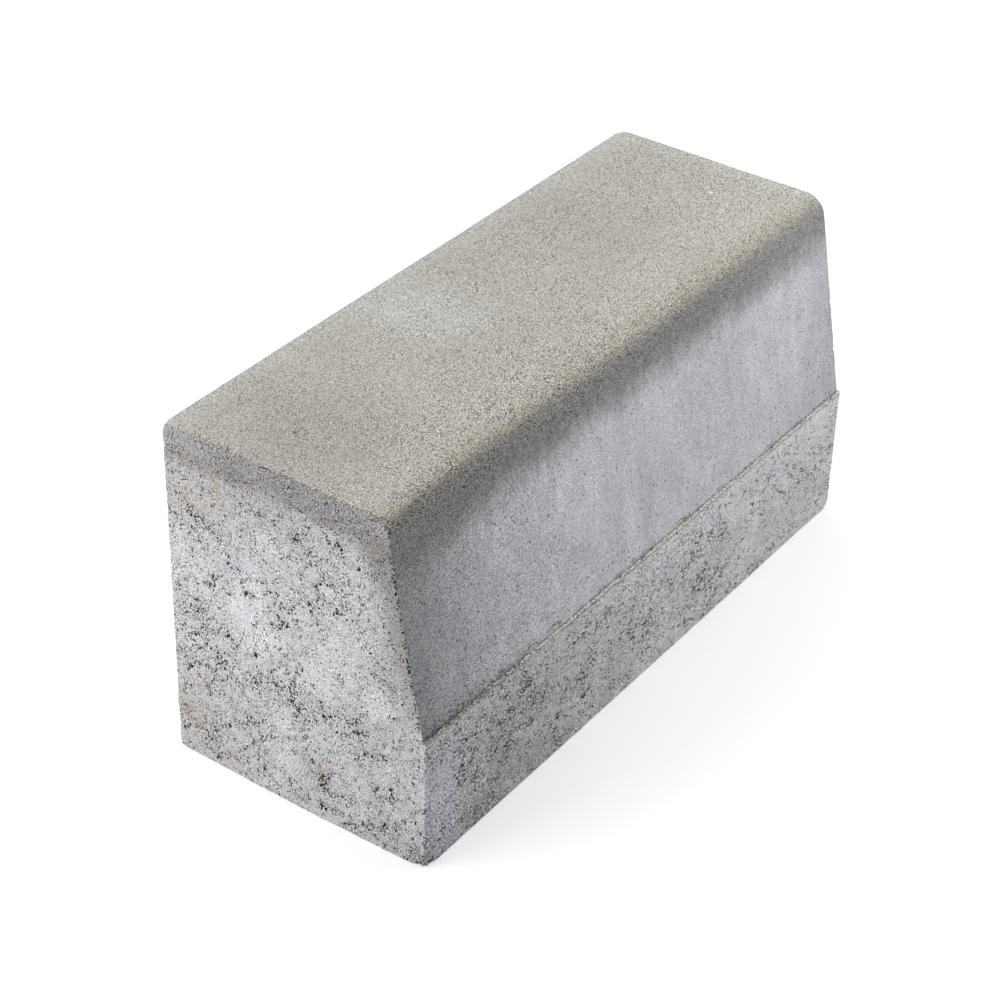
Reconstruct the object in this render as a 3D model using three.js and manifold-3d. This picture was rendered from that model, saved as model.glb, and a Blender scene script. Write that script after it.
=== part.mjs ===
// A concrete kerb stone with a battered road face, precast as one solid piece.
//
// Units are millimetres. The kerb runs along X, its road face looks towards -Y, its back towards +Y,
// and it stands on z = 0. The origin is the middle of the base.
//
// The solid is what three prisms have in common. Each prism is one drawing of the stone carried right
// through it: the cross section along X, the plan along Z and the side elevation along Y. The cross
// section gives the stone its form, and the plan and the elevation round off its ends.

import * as THREE from 'three';
import { mergeVertices } from 'three/addons/utils/BufferGeometryUtils.js';
import Module from 'manifold-3d';

// ---- Driving dimensions -------------------------------------------------------------------------

const LENGTH = 500; // end face to end face
const BASE_WIDTH = 200; // back to the front of the lower band
const HEIGHT = 250; // bed to top

const BAND_HEIGHT = 102; // upright lower band, which is laid below the road surface
const LEDGE_DEPTH = 2.8; // narrow step between the lower band and the foot of the batter
const TOP_SETBACK = 30.5; // how far behind the band the batter's plane meets the plane of the top

const NOSE_RADIUS = 16; // rounded edge between the batter and the top
const BACK_ARRIS_RADIUS = 3; // long edge between the top and the back
const BED_ARRIS_RADIUS = 1.5; // long edges of the bed

const BACK_CORNER_RADIUS = 3.5; // upright corners between the back and the ends
const BAND_CORNER_RADIUS = 2; // upright corners between the lower band and the ends
const TOP_END_RADIUS = 2; // cross edges between the top and the ends
const BED_END_RADIUS = 2; // cross edges between the bed and the ends

const ARC_SEGMENTS = 8; // straight pieces in each small rounded corner
const NOSE_SEGMENTS = 16; // straight pieces in the nose

// ---- Outlines -----------------------------------------------------------------------------------

// Draws a closed outline through the corners [u, v, radius, segments], given counter-clockwise, with
// each corner rounded by an arc that touches both of its walls. An arc takes at most half of a wall.
function roundedOutline(corners) {
  const points = [];
  corners.forEach(([u, v, radius = 0, segments = ARC_SEGMENTS], i) => {
    const corner = new THREE.Vector2(u, v);
    if (radius === 0) {
      points.push(corner);
      return;
    }
    const previous = corners[(i + corners.length - 1) % corners.length];
    const next = corners[(i + 1) % corners.length];
    const toPrevious = new THREE.Vector2(previous[0], previous[1]).sub(corner);
    const toNext = new THREE.Vector2(next[0], next[1]).sub(corner);
    const shorterWall = Math.min(toPrevious.length(), toNext.length());
    toPrevious.normalize();
    toNext.normalize();

    const halfAngle = Math.acos(toPrevious.dot(toNext)) / 2;
    const setback = Math.min(radius / Math.tan(halfAngle), shorterWall / 2);
    const arcRadius = setback * Math.tan(halfAngle);
    const bisector = toPrevious.clone().add(toNext).normalize();
    const centre = corner.clone().addScaledVector(bisector, arcRadius / Math.sin(halfAngle));

    const start = corner.clone().addScaledVector(toPrevious, setback).sub(centre);
    const sweep = Math.PI - 2 * halfAngle;
    for (let step = 0; step <= segments; step += 1) {
      points.push(start.clone().rotateAround(new THREE.Vector2(), (sweep * step) / segments).add(centre));
    }
  });
  return points;
}

const half = { length: LENGTH / 2, width: BASE_WIDTH / 2 };

// Cross section in (y, z): bed, back, top, nose, batter, ledge and lower band.
const sectionOutline = roundedOutline([
  [-half.width, 0, BED_ARRIS_RADIUS],
  [half.width, 0, BED_ARRIS_RADIUS],
  [half.width, HEIGHT, BACK_ARRIS_RADIUS],
  [-half.width + TOP_SETBACK, HEIGHT, NOSE_RADIUS, NOSE_SEGMENTS],
  [-half.width + LEDGE_DEPTH, BAND_HEIGHT],
  [-half.width, BAND_HEIGHT],
]);

// Plan in (x, y): the lower band's corners in front and the back's corners behind.
const planOutline = roundedOutline([
  [-half.length, -half.width, BAND_CORNER_RADIUS],
  [half.length, -half.width, BAND_CORNER_RADIUS],
  [half.length, half.width, BACK_CORNER_RADIUS],
  [-half.length, half.width, BACK_CORNER_RADIUS],
]);

// Side elevation in (x, z): the bed's ends below and the top's ends above.
const elevationOutline = roundedOutline([
  [-half.length, 0, BED_END_RADIUS],
  [half.length, 0, BED_END_RADIUS],
  [half.length, HEIGHT, TOP_END_RADIUS],
  [-half.length, HEIGHT, TOP_END_RADIUS],
]);

// ---- Solids -------------------------------------------------------------------------------------

const wasm = await Module();
wasm.setup();

const X = new THREE.Vector3(1, 0, 0);
const Y = new THREE.Vector3(0, 1, 0);
const Z = new THREE.Vector3(0, 0, 1);

// Carries an outline drawn on the axes (u, v) from low to high along the axis w.
function prism(outline, [u, v, w], low, high) {
  const geometry = new THREE.ExtrudeGeometry(new THREE.Shape(outline), {
    depth: high - low,
    bevelEnabled: false,
  });
  geometry.translate(0, 0, low);
  geometry.applyMatrix4(new THREE.Matrix4().makeBasis(u, v, w));
  return geometry;
}

// Turns a closed geometry into a solid that can be joined and cut.
function toSolid(geometry) {
  geometry.deleteAttribute('normal');
  geometry.deleteAttribute('uv');
  const merged = mergeVertices(geometry);
  return new wasm.Manifold(
    new wasm.Mesh({
      numProp: 3,
      vertProperties: new Float32Array(merged.attributes.position.array),
      triVerts: new Uint32Array(merged.index.array),
    }),
  );
}

// Turns a solid back into a geometry with flat-shaded faces.
function toGeometry(solid) {
  const mesh = solid.getMesh();
  const indexed = new THREE.BufferGeometry();
  indexed.setAttribute('position', new THREE.BufferAttribute(mesh.vertProperties, mesh.numProp));
  indexed.setIndex(new THREE.BufferAttribute(mesh.triVerts, 1));
  const geometry = indexed.toNonIndexed();
  geometry.computeVertexNormals();
  return geometry;
}

function kerbStone() {
  const crossSection = prism(sectionOutline, [Y, Z, X], -half.length, half.length);
  const plan = prism(planOutline, [X, Y, Z], 0, HEIGHT);
  // X and Z with -Y make a right-handed set, so this prism runs from the back to the front.
  const elevation = prism(elevationOutline, [X, Z, Y.clone().negate()], -half.width, half.width);
  return toSolid(crossSection).intersect(toSolid(plan)).intersect(toSolid(elevation));
}

// ---- The part -----------------------------------------------------------------------------------

const castConcrete = new THREE.MeshStandardMaterial({
  name: 'cast_concrete',
  color: 0xa8a59c,
  roughness: 0.93,
  metalness: 0,
});

const kerb = new THREE.Mesh(toGeometry(kerbStone()), castConcrete);
kerb.name = 'kerb_stone';

const group = new THREE.Group();
group.add(kerb);

export default group;
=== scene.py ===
# %% [markdown]
# # A precast concrete kerb stone
#
# This lesson dresses one block of precast concrete: a road kerb with a level top, a rounded nose, a
# battered (leaning) road face and a plain upright band that goes below the road surface. Its form is
# simple, so everything that makes it look like concrete is in its skin: holes and short cracks where the
# stiff mix did not close, sandy face mix on the top, pale cement milk on the batter, and worn arrises.
#
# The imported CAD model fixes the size. It is loaded first, and its box is kept, because nothing made here
# may change the stone's dimensions.

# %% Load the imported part
import functools
import itertools
import math

import bpy
import numpy as np
from mathutils import Matrix, Vector


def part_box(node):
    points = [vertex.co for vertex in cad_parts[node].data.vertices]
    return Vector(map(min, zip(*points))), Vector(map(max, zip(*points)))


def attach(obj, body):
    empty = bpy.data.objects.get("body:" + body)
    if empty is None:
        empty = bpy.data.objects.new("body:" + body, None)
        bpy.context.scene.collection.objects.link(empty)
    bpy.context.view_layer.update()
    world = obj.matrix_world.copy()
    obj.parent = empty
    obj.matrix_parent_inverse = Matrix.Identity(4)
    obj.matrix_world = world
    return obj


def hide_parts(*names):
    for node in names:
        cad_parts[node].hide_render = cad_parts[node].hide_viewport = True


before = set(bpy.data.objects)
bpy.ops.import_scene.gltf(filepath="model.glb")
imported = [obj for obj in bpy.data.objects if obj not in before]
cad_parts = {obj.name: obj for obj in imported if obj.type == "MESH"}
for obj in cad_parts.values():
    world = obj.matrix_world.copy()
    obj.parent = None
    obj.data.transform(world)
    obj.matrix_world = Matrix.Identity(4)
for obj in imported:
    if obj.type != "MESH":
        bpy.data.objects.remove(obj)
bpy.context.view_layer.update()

stone_low, stone_high = (np.array(corner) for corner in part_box("kerb_stone"))
LENGTH, WIDTH, HEIGHT = stone_high - stone_low
print(f"kerb: {LENGTH * 1000:.0f} x {WIDTH * 1000:.0f} x {HEIGHT * 1000:.0f} mm")

# %% [markdown]
# ## The sizes of the cross section
#
# The frame gives the overall box. The rest of the section is repeated here in metres: a kerb's section is
# a handful of straight walls with a radius where two of them meet, so those few numbers are all it needs.

# %% Section sizes, in metres
BAND_HEIGHT = 0.102
LEDGE_DEPTH = 0.0028
TOP_SETBACK = 0.0305
NOSE_RADIUS = 0.016
BACK_ARRIS_RADIUS = 0.0012
BED_ARRIS_RADIUS = 0.0009

FRONT, BACK = -WIDTH / 2, WIDTH / 2
LEFT, RIGHT = -LENGTH / 2, LENGTH / 2
BATTER_LEAN = math.atan2(TOP_SETBACK - LEDGE_DEPTH, HEIGHT - BAND_HEIGHT)
print(f"batter leans {math.degrees(BATTER_LEAN):.1f} degrees over {(HEIGHT - BAND_HEIGHT) * 1000:.0f} mm")

# %% [markdown]
# ## Camera
#
# A product shot of a heavy block is taken from a standing eye, with a long lens so that its upright edges
# stay nearly parallel. It is described as the hand on its tripod would: where it stands, which way it
# points, how far it looks down and how much it is tilted to one side.

# %% Camera
CAMERA_PLACE = Vector((-1.1951, -0.8001, 1.0865))
CAMERA_HEADING = math.radians(34.619)  # anticlockwise from +X
CAMERA_DOWN = math.radians(34.485)
CAMERA_ROLL = math.radians(1.728)
CAMERA_LENS, SENSOR_WIDTH = 92.4, 36  # millimetres


def make_camera():
    """Points the camera along its heading, tips it down, then rolls it about its own axis."""
    look = Vector(
        (
            math.cos(CAMERA_DOWN) * math.cos(CAMERA_HEADING),
            math.cos(CAMERA_DOWN) * math.sin(CAMERA_HEADING),
            -math.sin(CAMERA_DOWN),
        )
    )
    data = bpy.data.cameras.new("product_camera")
    data.lens = CAMERA_LENS
    data.sensor_width = SENSOR_WIDTH
    camera = bpy.data.objects.new("product_camera", data)
    upright = look.to_track_quat("-Z", "Y").to_matrix().to_4x4()
    camera.matrix_world = Matrix.Translation(CAMERA_PLACE) @ upright @ Matrix.Rotation(CAMERA_ROLL, 4, "Z")
    bpy.context.scene.collection.objects.link(camera)
    bpy.context.scene.camera = camera


make_camera()
print("camera stands", round(CAMERA_PLACE.length, 2), "m from the stone's foot")

# %% [markdown]
# ## Random fields
#
# Concrete has no drawing, only statistics: grains, holes, clouds. Blender's own noise lives in materials,
# so for the mesh the same idea is written with numpy. A lattice of repeatable random numbers is blended
# smoothly for hills, and a scatter of points, one in each cell, gives grains and the gaps between them.
# Every function takes all points at once, as one array with three columns.

# %% Repeatable random numbers
def lattice_value(corner, seed):
    """A repeatable random number from 0 to 1 for each whole-number lattice corner: its three coordinates
    and the seed are multiplied by large odd numbers and combined, and the bits are stirred twice."""
    x, y, z = corner[..., 0], corner[..., 1], corner[..., 2]
    mixed = (x * 73856093) ^ (y * 19349663) ^ (z * 83492791) ^ (seed * 1640531527)
    bits = (mixed & 0xFFFFFFFF).astype(np.uint64)
    bits = ((bits ^ (bits >> np.uint64(15))) * np.uint64(2246822519)) & np.uint64(0xFFFFFFFF)
    bits = ((bits ^ (bits >> np.uint64(13))) * np.uint64(3266489917)) & np.uint64(0xFFFFFFFF)
    return (bits ^ (bits >> np.uint64(16))) / 4294967295.0


def smoothstep(low, high, value):
    """0 below low, 1 above high, and 3t^2 - 2t^3 between, so both ends are level."""
    t = np.clip((value - low) / (high - low), 0, 1)
    return t * t * (3 - 2 * t)


# %% Soft hills
def hills(points, size, seed):
    """Smooth random hills from -1 to 1, about `size` across: the eight corner values of each lattice box
    are blended by the smoothstep of the place inside the box. size may differ along the three axes."""
    place = points / np.asarray(size, float)
    box = np.floor(place)
    inside = place - box
    inside = inside * inside * (3 - 2 * inside)
    box = box.astype(np.int64)
    height = np.zeros(len(points))
    for step in itertools.product((0, 1), repeat=3):
        share = np.prod(np.where(step, inside, 1 - inside), axis=1)
        height += share * lattice_value(box + step, seed)
    return 2 * height - 1


def rough_hills(points, size, seed, octaves=4, gain=0.5):
    """Hills with smaller hills on them: each octave is half as wide and `gain` times as high."""
    total, height = np.zeros(len(points)), 1.0
    for octave in range(octaves):
        total += height * hills(points, np.asarray(size, float) / 2**octave, seed + 17 * octave)
        height *= gain
    return total


# %% Scattered grains
def grains(points, size, seed):
    """One grain centre is scattered in each cell of `size`. Returns, in cell sizes, the distance to the
    nearest centre and how much further the second nearest is, and the nearest grain's own number."""
    place = points / np.asarray(size, float)
    home = np.floor(place).astype(np.int64)
    first = np.full(len(points), 9.0)
    second = np.full(len(points), 9.0)
    own = np.zeros(len(points))
    for step in itertools.product((-1, 0, 1), repeat=3):
        cell = home + step
        scatter = np.stack([lattice_value(cell, seed + axis) for axis in (1, 2, 3)], axis=1)
        distance = np.linalg.norm(place - cell - scatter, axis=1)
        closer = distance < first
        second = np.where(closer, first, np.minimum(second, distance))
        own = np.where(closer, lattice_value(cell, seed + 4), own)
        first = np.where(closer, distance, first)
    return first, second - first, own


probe = np.random.default_rng(1).uniform(0, 1, (2000, 3))
print("hills run from", hills(probe, 0.05, 3).min().round(2), "to", hills(probe, 0.05, 3).max().round(2))

# %% [markdown]
# ## The section as one line
#
# The outline of the cross section could be drawn as a curve object, but the skin needs to ask it
# questions: where is the point 310 mm along, and which way does the surface face there? So the outline is
# a table of places and facing directions against the distance s walked round the section, starting in the
# middle of the bed and going back, up, forward over the top, down the batter and down the band.

# %% Outline of the section
OUTLINE_STEP = 0.0001


def arc_at_corner(before, corner, after, radius):
    """The arc that touches both walls of a corner: it starts and ends radius / tan(half the angle) from
    the corner, and its centre lies on the bisector, radius / sin(half the angle) away."""
    to_before = (before - corner) / np.linalg.norm(before - corner)
    to_after = (after - corner) / np.linalg.norm(after - corner)
    half = math.acos(to_before @ to_after) / 2
    bisector = (to_before + to_after) / np.linalg.norm(to_before + to_after)
    centre = corner + bisector * radius / math.sin(half)
    start = corner + to_before * radius / math.tan(half) - centre
    turn = np.linspace(0, math.pi - 2 * half, max(4, int(radius * (math.pi - 2 * half) / OUTLINE_STEP)))
    cos, sin = np.cos(turn), np.sin(turn)
    return centre + np.stack([start[0] * cos - start[1] * sin, start[0] * sin + start[1] * cos], axis=1)


def section_outline():
    """The outline in (y, z) as points about OUTLINE_STEP apart: walls joined by arcs, starting at the
    middle of the bed."""
    corners = [
        ((BACK, 0), BED_ARRIS_RADIUS),
        ((BACK, HEIGHT), BACK_ARRIS_RADIUS),
        ((FRONT + TOP_SETBACK, HEIGHT), NOSE_RADIUS),
        ((FRONT + LEDGE_DEPTH, BAND_HEIGHT), 0),
        ((FRONT, BAND_HEIGHT), 0),
        ((FRONT, 0), BED_ARRIS_RADIUS),
    ]
    places = [np.array(place, float) for place, _ in corners]
    stops = [np.array([[0.0, 0.0]])]
    for i, (_, radius) in enumerate(corners):
        before, corner, after = places[i - 1], places[i], places[(i + 1) % len(places)]
        stops.append(arc_at_corner(before, corner, after, radius) if radius else corner[None])
    stops.append(np.array([[0.0, 0.0]]))
    line = np.concatenate(stops)
    walked = np.concatenate([[0], np.cumsum(np.linalg.norm(np.diff(line, axis=0), axis=1))])
    even = np.union1d(walked, np.arange(0, walked[-1], OUTLINE_STEP))
    keep = np.concatenate([[True], np.diff(even) > 1e-9])
    even = even[keep]
    return even, np.stack([np.interp(even, walked, line[:, k]) for k in (0, 1)], axis=1)


outline_s, outline_yz = section_outline()
PERIMETER = outline_s[-1]
along = np.gradient(outline_yz, outline_s, axis=0)
outline_facing = np.stack([along[:, 1], -along[:, 0]], axis=1)
outline_facing /= np.linalg.norm(outline_facing, axis=1, keepdims=True)


def on_outline(s):
    """Place (y, z) and outward direction (y, z) at the distances s along the outline."""
    s = np.asarray(s, float)
    place = np.stack([np.interp(s, outline_s, outline_yz[:, k]) for k in (0, 1)], axis=-1)
    facing = np.stack([np.interp(s, outline_s, outline_facing[:, k]) for k in (0, 1)], axis=-1)
    return place, facing / np.linalg.norm(facing, axis=-1, keepdims=True)


def s_nearest(y, z):
    """The distance along the outline at which it passes closest to (y, z)."""
    return outline_s[np.argmin(np.hypot(outline_yz[:, 0] - y, outline_yz[:, 1] - z))]


print(f"the outline is {PERIMETER * 1000:.1f} mm round, in {len(outline_s)} points")

# %% [markdown]
# ## Worn ends
#
# The long skin is the outline carried along X. A mould would leave the ends square, and handling rounds
# them, so near each end the outline is carried on round a quarter circle whose radius changes from place
# to place: crisp along the band, softer on the back corners. The radius is written at a few named spots of
# the outline, joined by straight lines, and made uneven with hills.

# %% Spots on the outline
S_BACK_FOOT = s_nearest(BACK, 0)
S_BACK_TOP = s_nearest(BACK, HEIGHT)
S_NOSE = s_nearest(FRONT + TOP_SETBACK, HEIGHT)
S_LEDGE = s_nearest(FRONT + LEDGE_DEPTH, BAND_HEIGHT)
S_LIP = s_nearest(FRONT, BAND_HEIGHT)
S_BAND_FOOT = s_nearest(FRONT, 0)


def end_radius(s, spots, unevenness, seed):
    """Arris radius of an end at the distances s along the outline: read off the spots, then made uneven by
    hills 9 mm long. By the bed and the ledge the spots are small: a wide arris would fold those corners."""
    s = np.asarray(s, float) % PERIMETER
    places, radii = zip(*sorted(spots))
    radius = np.interp(s, places, radii, period=PERIMETER)
    line = np.stack([s, np.zeros_like(s), np.zeros_like(s)], axis=-1).reshape(-1, 3)
    bumps = rough_hills(line, 0.009, seed, 3).reshape(s.shape)
    return np.clip(radius * (1 + unevenness * bumps), 0.0003, None)


LEFT_SPOTS = [  # distance along the outline, radius
    (S_BACK_FOOT - 0.012, 0.0007),
    (S_BACK_FOOT, 0.0006),
    (S_BACK_FOOT + 0.015, 0.0012),
    (S_BACK_TOP - 0.012, 0.0011),
    (S_BACK_TOP - 0.002, 0.0016),
    (S_BACK_TOP + 0.008, 0.0006),
    (S_NOSE - 0.030, 0.0005),
    (S_NOSE + 0.020, 0.0008),
    (S_LEDGE - 0.006, 0.0008),
    (S_LEDGE, 0.0003),
    (S_LIP, 0.0003),
    (S_LIP + 0.006, 0.0007),
    (S_BAND_FOOT - 0.012, 0.0009),
    (S_BAND_FOOT, 0.0006),
    (S_BAND_FOOT + 0.012, 0.0006),
]
RIGHT_SPOTS = [
    (S_BACK_FOOT, 0.0006),
    (S_BACK_FOOT + 0.015, 0.0012),
    (S_BACK_TOP - 0.015, 0.0013),
    (S_BACK_TOP, 0.0014),
    (S_BACK_TOP + 0.012, 0.0008),
    (S_NOSE + 0.020, 0.0007),
    (S_LEDGE - 0.006, 0.0007),
    (S_LEDGE, 0.0003),
    (S_LIP, 0.0003),
    (S_LIP + 0.006, 0.0008),
    (S_BAND_FOOT, 0.0006),
]
left_radius = functools.partial(end_radius, spots=LEFT_SPOTS, unevenness=0.45, seed=101)
right_radius = functools.partial(end_radius, spots=RIGHT_SPOTS, unevenness=0.40, seed=131)

every_s = np.linspace(0, PERIMETER, 2000)
arris = left_radius(every_s) * 1000
print(f"left end arris {arris.min():.1f} to {arris.max():.1f} mm")

# %% [markdown]
# ## Six panels
#
# The skin is four long panels (back, top with nose and batter, band, bed) and two end panels. One even grid
# all over would either miss the holes or need millions of faces, so each panel has its own step: under a
# millimetre on the left end and the band, about two on the right end, the back and the pressed faces, and
# five on the bed. A panel is a grid of places with the direction in which the surface faces there, both
# written as formulas in two parameters.

# %% Steps along a line
def evenly(start, stop, step):
    """Values from start to stop, evenly spaced and about `step` apart, with both ends kept."""
    return np.linspace(start, stop, max(2, round((stop - start) / step) + 1))


def finer_at_ends(start, stop, fine, coarse, run=8):
    """Values from start to stop whose step grows from fine to coarse over the first `run` steps, stays
    there, and shrinks the same way at the far end."""
    growing = fine * (coarse / fine) ** (np.arange(run) / run)
    middle = max(1, round((stop - start - 2 * growing.sum()) / coarse))
    steps = np.concatenate([growing, np.full(middle, coarse), growing[::-1]])
    return start + (stop - start) * np.concatenate([[0], np.cumsum(steps)]) / steps.sum()


def in_turn(*runs):
    """Runs of values one after the other, leaving out the value that two neighbours share."""
    return np.concatenate([runs[0]] + [run[1:] for run in runs[1:]])


# %% A long panel
END_TURNS = np.radians([16, 34, 53, 72])  # stops on the way round an end's quarter circle


def long_panel(s_rows, x_share):
    """A grid of the outline's rows carried along X. x_share runs from 0 to 1 between the two rounded ends.
    Past them the row turns through END_TURNS: it goes on by radius x sin(turn), the outline draws in by
    radius x (1 - cos(turn)), and the facing swings from the outline's own direction to the end's."""
    turn = np.concatenate([-END_TURNS[::-1], np.zeros(len(x_share)), END_TURNS])
    share = np.concatenate([np.zeros(len(END_TURNS)), x_share, np.ones(len(END_TURNS))])
    place, facing = on_outline(s_rows % PERIMETER)
    left, right = left_radius(s_rows)[:, None], right_radius(s_rows)[:, None]
    radius = np.where(turn < 0, left, right)
    straight_from, straight_to = LEFT + left, RIGHT - right
    x = straight_from + share * (straight_to - straight_from) + radius * np.sin(turn)
    drawn_in = radius * (1 - np.cos(turn))
    yz = place[:, None, :] - facing[:, None, :] * drawn_in[..., None]
    points = np.stack([x, yz[..., 0], yz[..., 1]], axis=-1)
    toward = np.broadcast_to(np.sin(turn), x.shape)
    outward = facing[:, None, :] * np.cos(turn)[None, :, None]
    facings = np.stack([toward, outward[..., 0], outward[..., 1]], axis=-1)
    return points, facings


# %% An end panel
SETTLE_ROUNDS = 150


def settle(grid):
    """Each inner point moves to the mean of its four neighbours, again and again. It spreads out the cells
    that the blend squeezes together at the nose, where the rim runs nearly straight through a corner."""
    for _ in range(SETTLE_ROUNDS):
        around = grid[:-2, 1:-1] + grid[2:, 1:-1] + grid[1:-1, :-2] + grid[1:-1, 2:]
        grid[1:-1, 1:-1] = around / 4
    return grid


def end_panel(x_end, radius_at, across, up_batter, up_band):
    """A flat grid that fills the section at one end, inside the arris. Its four sides are stretches of the
    outline drawn in by the arris radius, and the inside is the sum of the two pairs of sides blended
    across, less the blend of the four corners (a Coons patch). The front side steps across the ledge in
    one go. Returns the grid, its facings and the s of its rim, walked round from the foot of the back."""
    s_front = np.concatenate(
        [np.linspace(S_NOSE, S_LEDGE, up_batter + 1), np.linspace(S_LIP + 0.001, S_BAND_FOOT, up_band + 1)]
    )
    s_back = np.linspace(S_BACK_FOOT, S_BACK_TOP, len(s_front))
    s_top = np.linspace(S_BACK_TOP, S_NOSE, across + 1)
    s_bed = np.linspace(S_BAND_FOOT, PERIMETER + S_BACK_FOOT, across + 1)

    def side(s):
        """A stretch of the outline, drawn in by the arris radius."""
        place, facing = on_outline(s % PERIMETER)
        return place - facing * radius_at(s)[:, None]

    back, top = side(s_back), side(s_top)
    front, bed = side(s_front)[::-1], side(s_bed)[::-1]
    u = np.linspace(0, 1, across + 1)[None, :, None]
    v = np.linspace(0, 1, len(s_back))[:, None, None]
    grid = (1 - v) * bed[None] + v * top[None] + (1 - u) * back[:, None] + u * front[:, None]
    grid -= (1 - v) * ((1 - u) * bed[0] + u * bed[-1]) + v * ((1 - u) * top[0] + u * top[-1])
    points = np.concatenate([np.full(grid.shape[:2] + (1,), x_end), settle(grid)], axis=-1)
    facings = np.broadcast_to([math.copysign(1, x_end), 0.0, 0.0], points.shape)
    rim_s = np.concatenate([s_back[:-1], s_top[:-1], s_front[:-1], s_bed[:-1]])
    return points, facings, rim_s


# %% Lay out the six panels
PANEL_GAP = 0.00035  # half the strip left open between two long panels
BATTER_FOOT = 0.006  # how much of the batter is in the finely stepped band panel

back_rows = evenly(S_BACK_FOOT + PANEL_GAP, S_BACK_TOP - PANEL_GAP, 0.0022)
top_rows = in_turn(
    evenly(S_BACK_TOP + PANEL_GAP, S_NOSE - 0.016, 0.0026),
    evenly(S_NOSE - 0.016, S_NOSE + 0.016, 0.0014),
    evenly(S_NOSE + 0.016, S_LEDGE - BATTER_FOOT - PANEL_GAP, 0.0024),
)
band_rows = in_turn(
    evenly(S_LEDGE - BATTER_FOOT + PANEL_GAP, S_LEDGE, 0.0007),
    evenly(S_LEDGE, S_LIP, 0.0005),
    evenly(S_LIP, S_BAND_FOOT - PANEL_GAP, 0.0008),
)
bed_rows = evenly(S_BAND_FOOT + PANEL_GAP, PERIMETER + S_BACK_FOOT - PANEL_GAP, 0.0050)

long_panels = {
    "back": long_panel(back_rows, finer_at_ends(0, 1, 0.0010 / LENGTH, 0.0022 / LENGTH)),
    "top": long_panel(top_rows, finer_at_ends(0, 1, 0.0008 / LENGTH, 0.0026 / LENGTH)),
    "band": long_panel(band_rows, finer_at_ends(0, 1, 0.0006 / LENGTH, 0.0009 / LENGTH)),
    "bed": long_panel(bed_rows, finer_at_ends(0, 1, 0.0012 / LENGTH, 0.0050 / LENGTH)),
}
long_rows = {"back": back_rows, "top": top_rows, "band": band_rows, "bed": bed_rows}
end_panels = {
    "left": end_panel(LEFT, left_radius, across=270, up_batter=205, up_band=142),
    "right": end_panel(RIGHT, right_radius, across=120, up_batter=94, up_band=64),
}
for name, (points, *_) in {**long_panels, **end_panels}.items():
    rows, columns = points.shape[:2]
    print(f"{name:6s} {rows:4d} x {columns:4d}, {2 * (rows - 1) * (columns - 1):6d} triangles")

# %% [markdown]
# ## Closing the skin
#
# Neighbouring panels have different steps, so their edges can't share vertices. Tailors meet the same
# problem with a zip: both edges are walked at once, and each step, on whichever side comes next, adds one
# tooth. Here every tooth is a triangle, and sorting all steps by how far along they lie gives all of them
# in one go. Six panels, four long zips and a ring of zip round each end make one closed skin.

# %% Zips between edges
def zip_edges(edge_a, at_a, edge_b, at_b):
    """Triangles joining two rows of vertex numbers, with at_a and at_b saying how far along each vertex
    lies. A step is placed at its middle. A step on edge a makes a triangle with the vertex of b reached so
    far, and a step on edge b one with the vertex of a."""
    middle_a, middle_b = (at_a[1:] + at_a[:-1]) / 2, (at_b[1:] + at_b[:-1]) / 2
    order = np.argsort(np.concatenate([middle_a, middle_b]), kind="stable")
    on_a = order < len(middle_a)
    i, j = np.cumsum(on_a), np.cumsum(~on_a)
    teeth_a = np.stack([edge_a[i - 1], edge_a[i], edge_b[j]], axis=1)
    teeth_b = np.stack([edge_a[i], edge_b[j], edge_b[j - 1]], axis=1)
    return np.where(on_a[:, None], teeth_a, teeth_b)


def grid_quads(numbers):
    """Four-sided faces between neighbouring rows and columns of a grid of vertex numbers."""
    corners = [numbers[:-1, :-1], numbers[:-1, 1:], numbers[1:, 1:], numbers[1:, :-1]]
    return np.stack(corners, axis=-1).reshape(-1, 4)


def sew_panels():
    """Numbers every panel's vertices, makes its quads, and zips the panels together. Returns all places,
    all facings, the quads and the triangles."""
    numbers, start = {}, 0
    for name, (points, *_) in {**long_panels, **end_panels}.items():
        count = points.shape[0] * points.shape[1]
        numbers[name] = start + np.arange(count).reshape(points.shape[:2])
        start += count
    everything = [*long_panels.values(), *end_panels.values()]
    places = np.concatenate([panel[0].reshape(-1, 3) for panel in everything])
    facings = np.concatenate([panel[1].reshape(-1, 3) for panel in everything])

    quads = [grid_quads(numbers[name])[:, ::-1] for name in long_panels]
    quads += [grid_quads(numbers["left"]), grid_quads(numbers["right"])[:, ::-1]]

    triangles = []
    names = list(long_panels)
    for name, following in zip(names, names[1:] + names[:1]):
        edge, next_edge = numbers[name][-1], numbers[following][0]
        seam = zip_edges(edge, places[edge, 0], next_edge, places[next_edge, 0])
        triangles.append(seam[:, ::-1])
    tube_s = np.concatenate([long_rows[name] for name in names])
    for side, column in (("left", 0), ("right", -1)):
        tube = np.concatenate([numbers[name][:, column] for name in names])
        panel = numbers[side]
        rim = np.concatenate([panel[:-1, 0], panel[-1, :-1], panel[:0:-1, -1], panel[0, :0:-1]])
        rim_s = end_panels[side][2]
        ring = zip_edges(
            np.append(rim, rim[0]),
            np.append(rim_s, rim_s[0] + PERIMETER),
            np.append(tube, tube[0]),
            np.append(tube_s, tube_s[0] + PERIMETER),
        )
        triangles.append(ring if side == "left" else ring[:, ::-1])
    return places, facings, np.concatenate(quads), np.concatenate(triangles)


skin_places, skin_facings, skin_quads, skin_triangles = sew_panels()
print(f"skin: {len(skin_places)} vertices, {2 * len(skin_quads) + len(skin_triangles)} triangles")

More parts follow.
